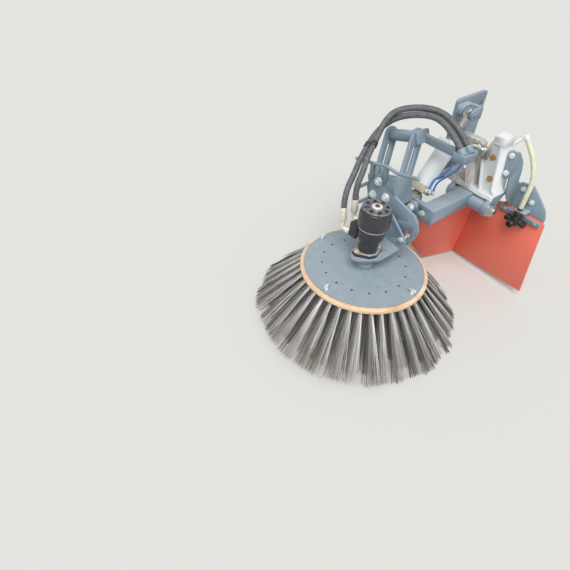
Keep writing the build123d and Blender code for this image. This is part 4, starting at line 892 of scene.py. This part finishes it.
# motor end cap with its ring of screws and the white plug with a rusty screw in it; heights start at the cap's seat
motorCap = {
    "base": 236,
    "rim": [(50, 0), (50, 5.5), (48.8, 7), (46.4, 7.2), (45, 6.2), (44.4, 4), (25.4, 4), (25, 7), (23.6, 8), (20.4, 8)],
    "plug": [(18, 7), (18, 10.6), (16.6, 12), (12.5, 12.4), (11.5, 11.2), (9, 11)],
    "wornAndHighlitRims": [
        [(49.4, 4.6), (50.3, 5.0), (50.2, 6.2), (49.2, 7.3), (47.6, 7.7), (46.6, 7.3)],
        [(24.6, 7.0), (24.6, 8.0), (23.8, 8.6), (21.6, 8.6)],
    ],
    "screws": 8, "screwCircle": 36, "screwHeight": 4, "screwSize": 7.2, "firstScrew": 0.3,
    "plugScrewHeight": 9.5, "plugScrewSize": 8,
}
capFrame = broomFrame @ Matrix.Translation((0, 0, motorCap["base"] * mm))
capSeats = []
for k in range(motorCap["screws"]):
    a = 2 * math.pi * (k + motorCap["firstScrew"]) / motorCap["screws"]
    place = (motorCap["screwCircle"] * math.cos(a), motorCap["screwCircle"] * math.sin(a), motorCap["screwHeight"])
    capSeats.append(seatIn(capFrame, place, motorCap["screwSize"]))
capMeshes = [
    latheMesh("cap", motorCap["rim"], capFrame), screwMesh("capScrews", capSeats, "scuffedMotorEnamel"),
]
placed("motorCap", joinedMesh(capMeshes), "motor", "motor_cap", "scuffedMotorEnamel")
# bright rings on the cap's rim and round the plug's boss: worn edges, and also painted highlight
wornAndHighlitEdges = [latheMesh("worn", profile, capFrame, 96) for profile in motorCap["wornAndHighlitRims"]]
placed("motorCapWearAndHighlight", joinedMesh(wornAndHighlitEdges), "motor", None, "wornEdgeAndHighlightSteel")
placed("motorPlug", latheMesh("plug", motorCap["plug"], capFrame, 48), "motor", None, "whitePlugNylon")
plugSeat = seatIn(capFrame, (0, 0, motorCap["plugScrewHeight"]), motorCap["plugScrewSize"])
placed("motorPlugScrew", screwMesh("plugScrew", [plugSeat], "rustySteel"), "motor", None)

# ring where the drum meets the lower body, bright as a painted highlight along that edge
drumHighlightBand = {"height": 168.6, "profile": [(48.8, -1.3), (50.4, -1.1), (50.9, 0), (50.4, 1.1), (48.8, 1.3)]}
bandFrame = broomFrame @ Matrix.Translation((0, 0, drumHighlightBand["height"] * mm))
placed("drumHighlightBand", latheMesh("band", drumHighlightBand["profile"], bandFrame, 96), "motor", None, "brightZincPlate")

# foot of the motor bracket, which stands out round the flange: outline over the plate of the broom
bracketFoot = {
    "outline": [
        (-44, 100), (-44, -28), (-24, -56), (-5, -71), (9, -70), (24, -58), (37, -38), (57, 2), (59, 16), (56, 60),
        (50, 118), (-30, 118),
    ],
    "heights": (50.3, 57.7), "easing": 0.9, "easedOver": 30,
}
footMesh = bpy.data.meshes.new("bracketFoot")
footCorners = [
    tuple(broomFrame @ (Vector((x, y, height)) * mm))
    for height in bracketFoot["heights"] for x, y in bracketFoot["outline"]
]
footMesh.from_pydata(footCorners, [], ringFaces(len(bracketFoot["heights"]), len(bracketFoot["outline"])))
footEased = easedMesh(footMesh, bracketFoot["easing"], bracketFoot["easedOver"], False)
placed("bracketFoot", footEased, "motor", None, "greyBluePowderCoat")

# near-black fill in the drain holes of the plate, its top just under the plate's face; start in degrees
drainFill = {"count": 16, "circle": 154, "radius": 3.95, "low": -5.5, "high": -0.7, "start": 9}


def drainFillTree():
    tree, given = newTree("drainFill", ("count",), ("circle", "radius", "low", "high", "start"))
    holes = addNode(tree, "GeometryNodeMeshCircle", {"Vertices": given["count"], "Radius": given["circle"]})
    depth = addNode(tree, "ShaderNodeMath", {0: given["high"], 1: given["low"]}, operation="SUBTRACT")
    middle = addNode(tree, "ShaderNodeMath", {0: depth, 1: 0.5, 2: given["low"]}, operation="MULTIPLY_ADD")
    plug = addNode(tree, "GeometryNodeMeshCylinder", {"Vertices": 20, "Radius": given["radius"], "Depth": depth})
    filled = addNode(tree, "GeometryNodeInstanceOnPoints", {"Points": holes, "Instance": plug})
    spin = addNode(tree, "ShaderNodeCombineXYZ", {2: given["start"]})
    lift = addNode(tree, "ShaderNodeCombineXYZ", {2: middle})
    spun = addNode(tree, "GeometryNodeTransform", {"Geometry": filled, "Translation": lift, "Rotation": spin})
    return closeTree(tree, given, spun, **inBroom)


drainFillInputs = {name: value * mm for name, value in drainFill.items()}
drainFillInputs.update(count=drainFill["count"], start=math.radians(drainFill["start"]), finish=finishes["blackNozzleNylon"])
placed("drainFill", runTree(drainFillTree(), "drainFill", drainFillInputs), "broom", None)

# spray nozzles: body, arms and ribbed caps in black nylon, on the bent steel strap
nozzle = {
    "foot": (324, 2, -205), "middle": (324, 2, -190), "arms": [(-1, 0, 0), (1, 0, 0), (0, -1, 0)],
    "armProfile": [(9, 0), (9, 26), (13, 27), (13, 36.5), (11, 39), (6, 39.5), (6, 38)],
    "bodyProfile": [
        (10, -2), (14, 0), (15, 3), (15, 30), (12, 33), (12, 40), (15, 41), (15, 52), (13, 54), (10, 54), (8, 60),
        (9.2, 64), (8, 67), (6, 68),
    ],
}
nozzleMiddle = Matrix.Translation(Vector(nozzle["middle"]) * mm)
nozzleMeshes = [
    latheMesh("arm", nozzle["armProfile"], nozzleMiddle @ Vector(arm).to_track_quat("Z", "Y").to_matrix().to_4x4(), 32)
    for arm in nozzle["arms"]
]
nozzleMeshes.append(latheMesh("body", nozzle["bodyProfile"], Matrix.Translation(Vector(nozzle["foot"]) * mm), 40))
placed("nozzleCluster", joinedMesh(nozzleMeshes), "console", "nozzle_caps", "blackNozzleNylon")
print("motor and nozzles finished")

# floor of the studio, in metres: painted plaster, matt and pale
floor = {"height": -0.503, "half": 15.0, "colour": "#D2D2CE", "roughness": 0.9}
floorMesh = bpy.data.meshes.new("floor")
corners = [(x * floor["half"], y * floor["half"], floor["height"]) for x, y in ((-1, -1), (1, -1), (1, 1), (-1, 1))]
floorMesh.from_pydata(corners, [], [(0, 1, 2, 3)])
floorMaterial, floorTree, floorShader = newMaterial("paleFloor")
connect(floorTree, floorShader, {"Base Color": hexColour(floor["colour"]), "Roughness": floor["roughness"]})
floorMesh.materials.append(floorMaterial)
addObject("studioFloor", floorMesh)

# an even white sky and one soft sun from the front right; softness is the sun's width in degrees
light = {"sky": 0.49, "sun": 2.6, "sunFrom": (0.38, -0.33, 0.86), "softness": 45.0}
world = bpy.data.worlds.new("studioSky")
bpy.context.scene.world = world
world.use_nodes = True
connect(world.node_tree, world.node_tree.nodes["Background"], {"Color": (1, 1, 1, 1), "Strength": light["sky"]})
sunData = bpy.data.lights.new("softSun", "SUN")
sunData.energy = light["sun"]
sunData.angle = math.radians(light["softness"])
addObject("softSun", sunData).rotation_euler = (-Vector(light["sunFrom"])).to_track_quat("-Z", "Y").to_euler()
bpy.context.scene.view_settings.view_transform = "Standard"
print("floor and light set")
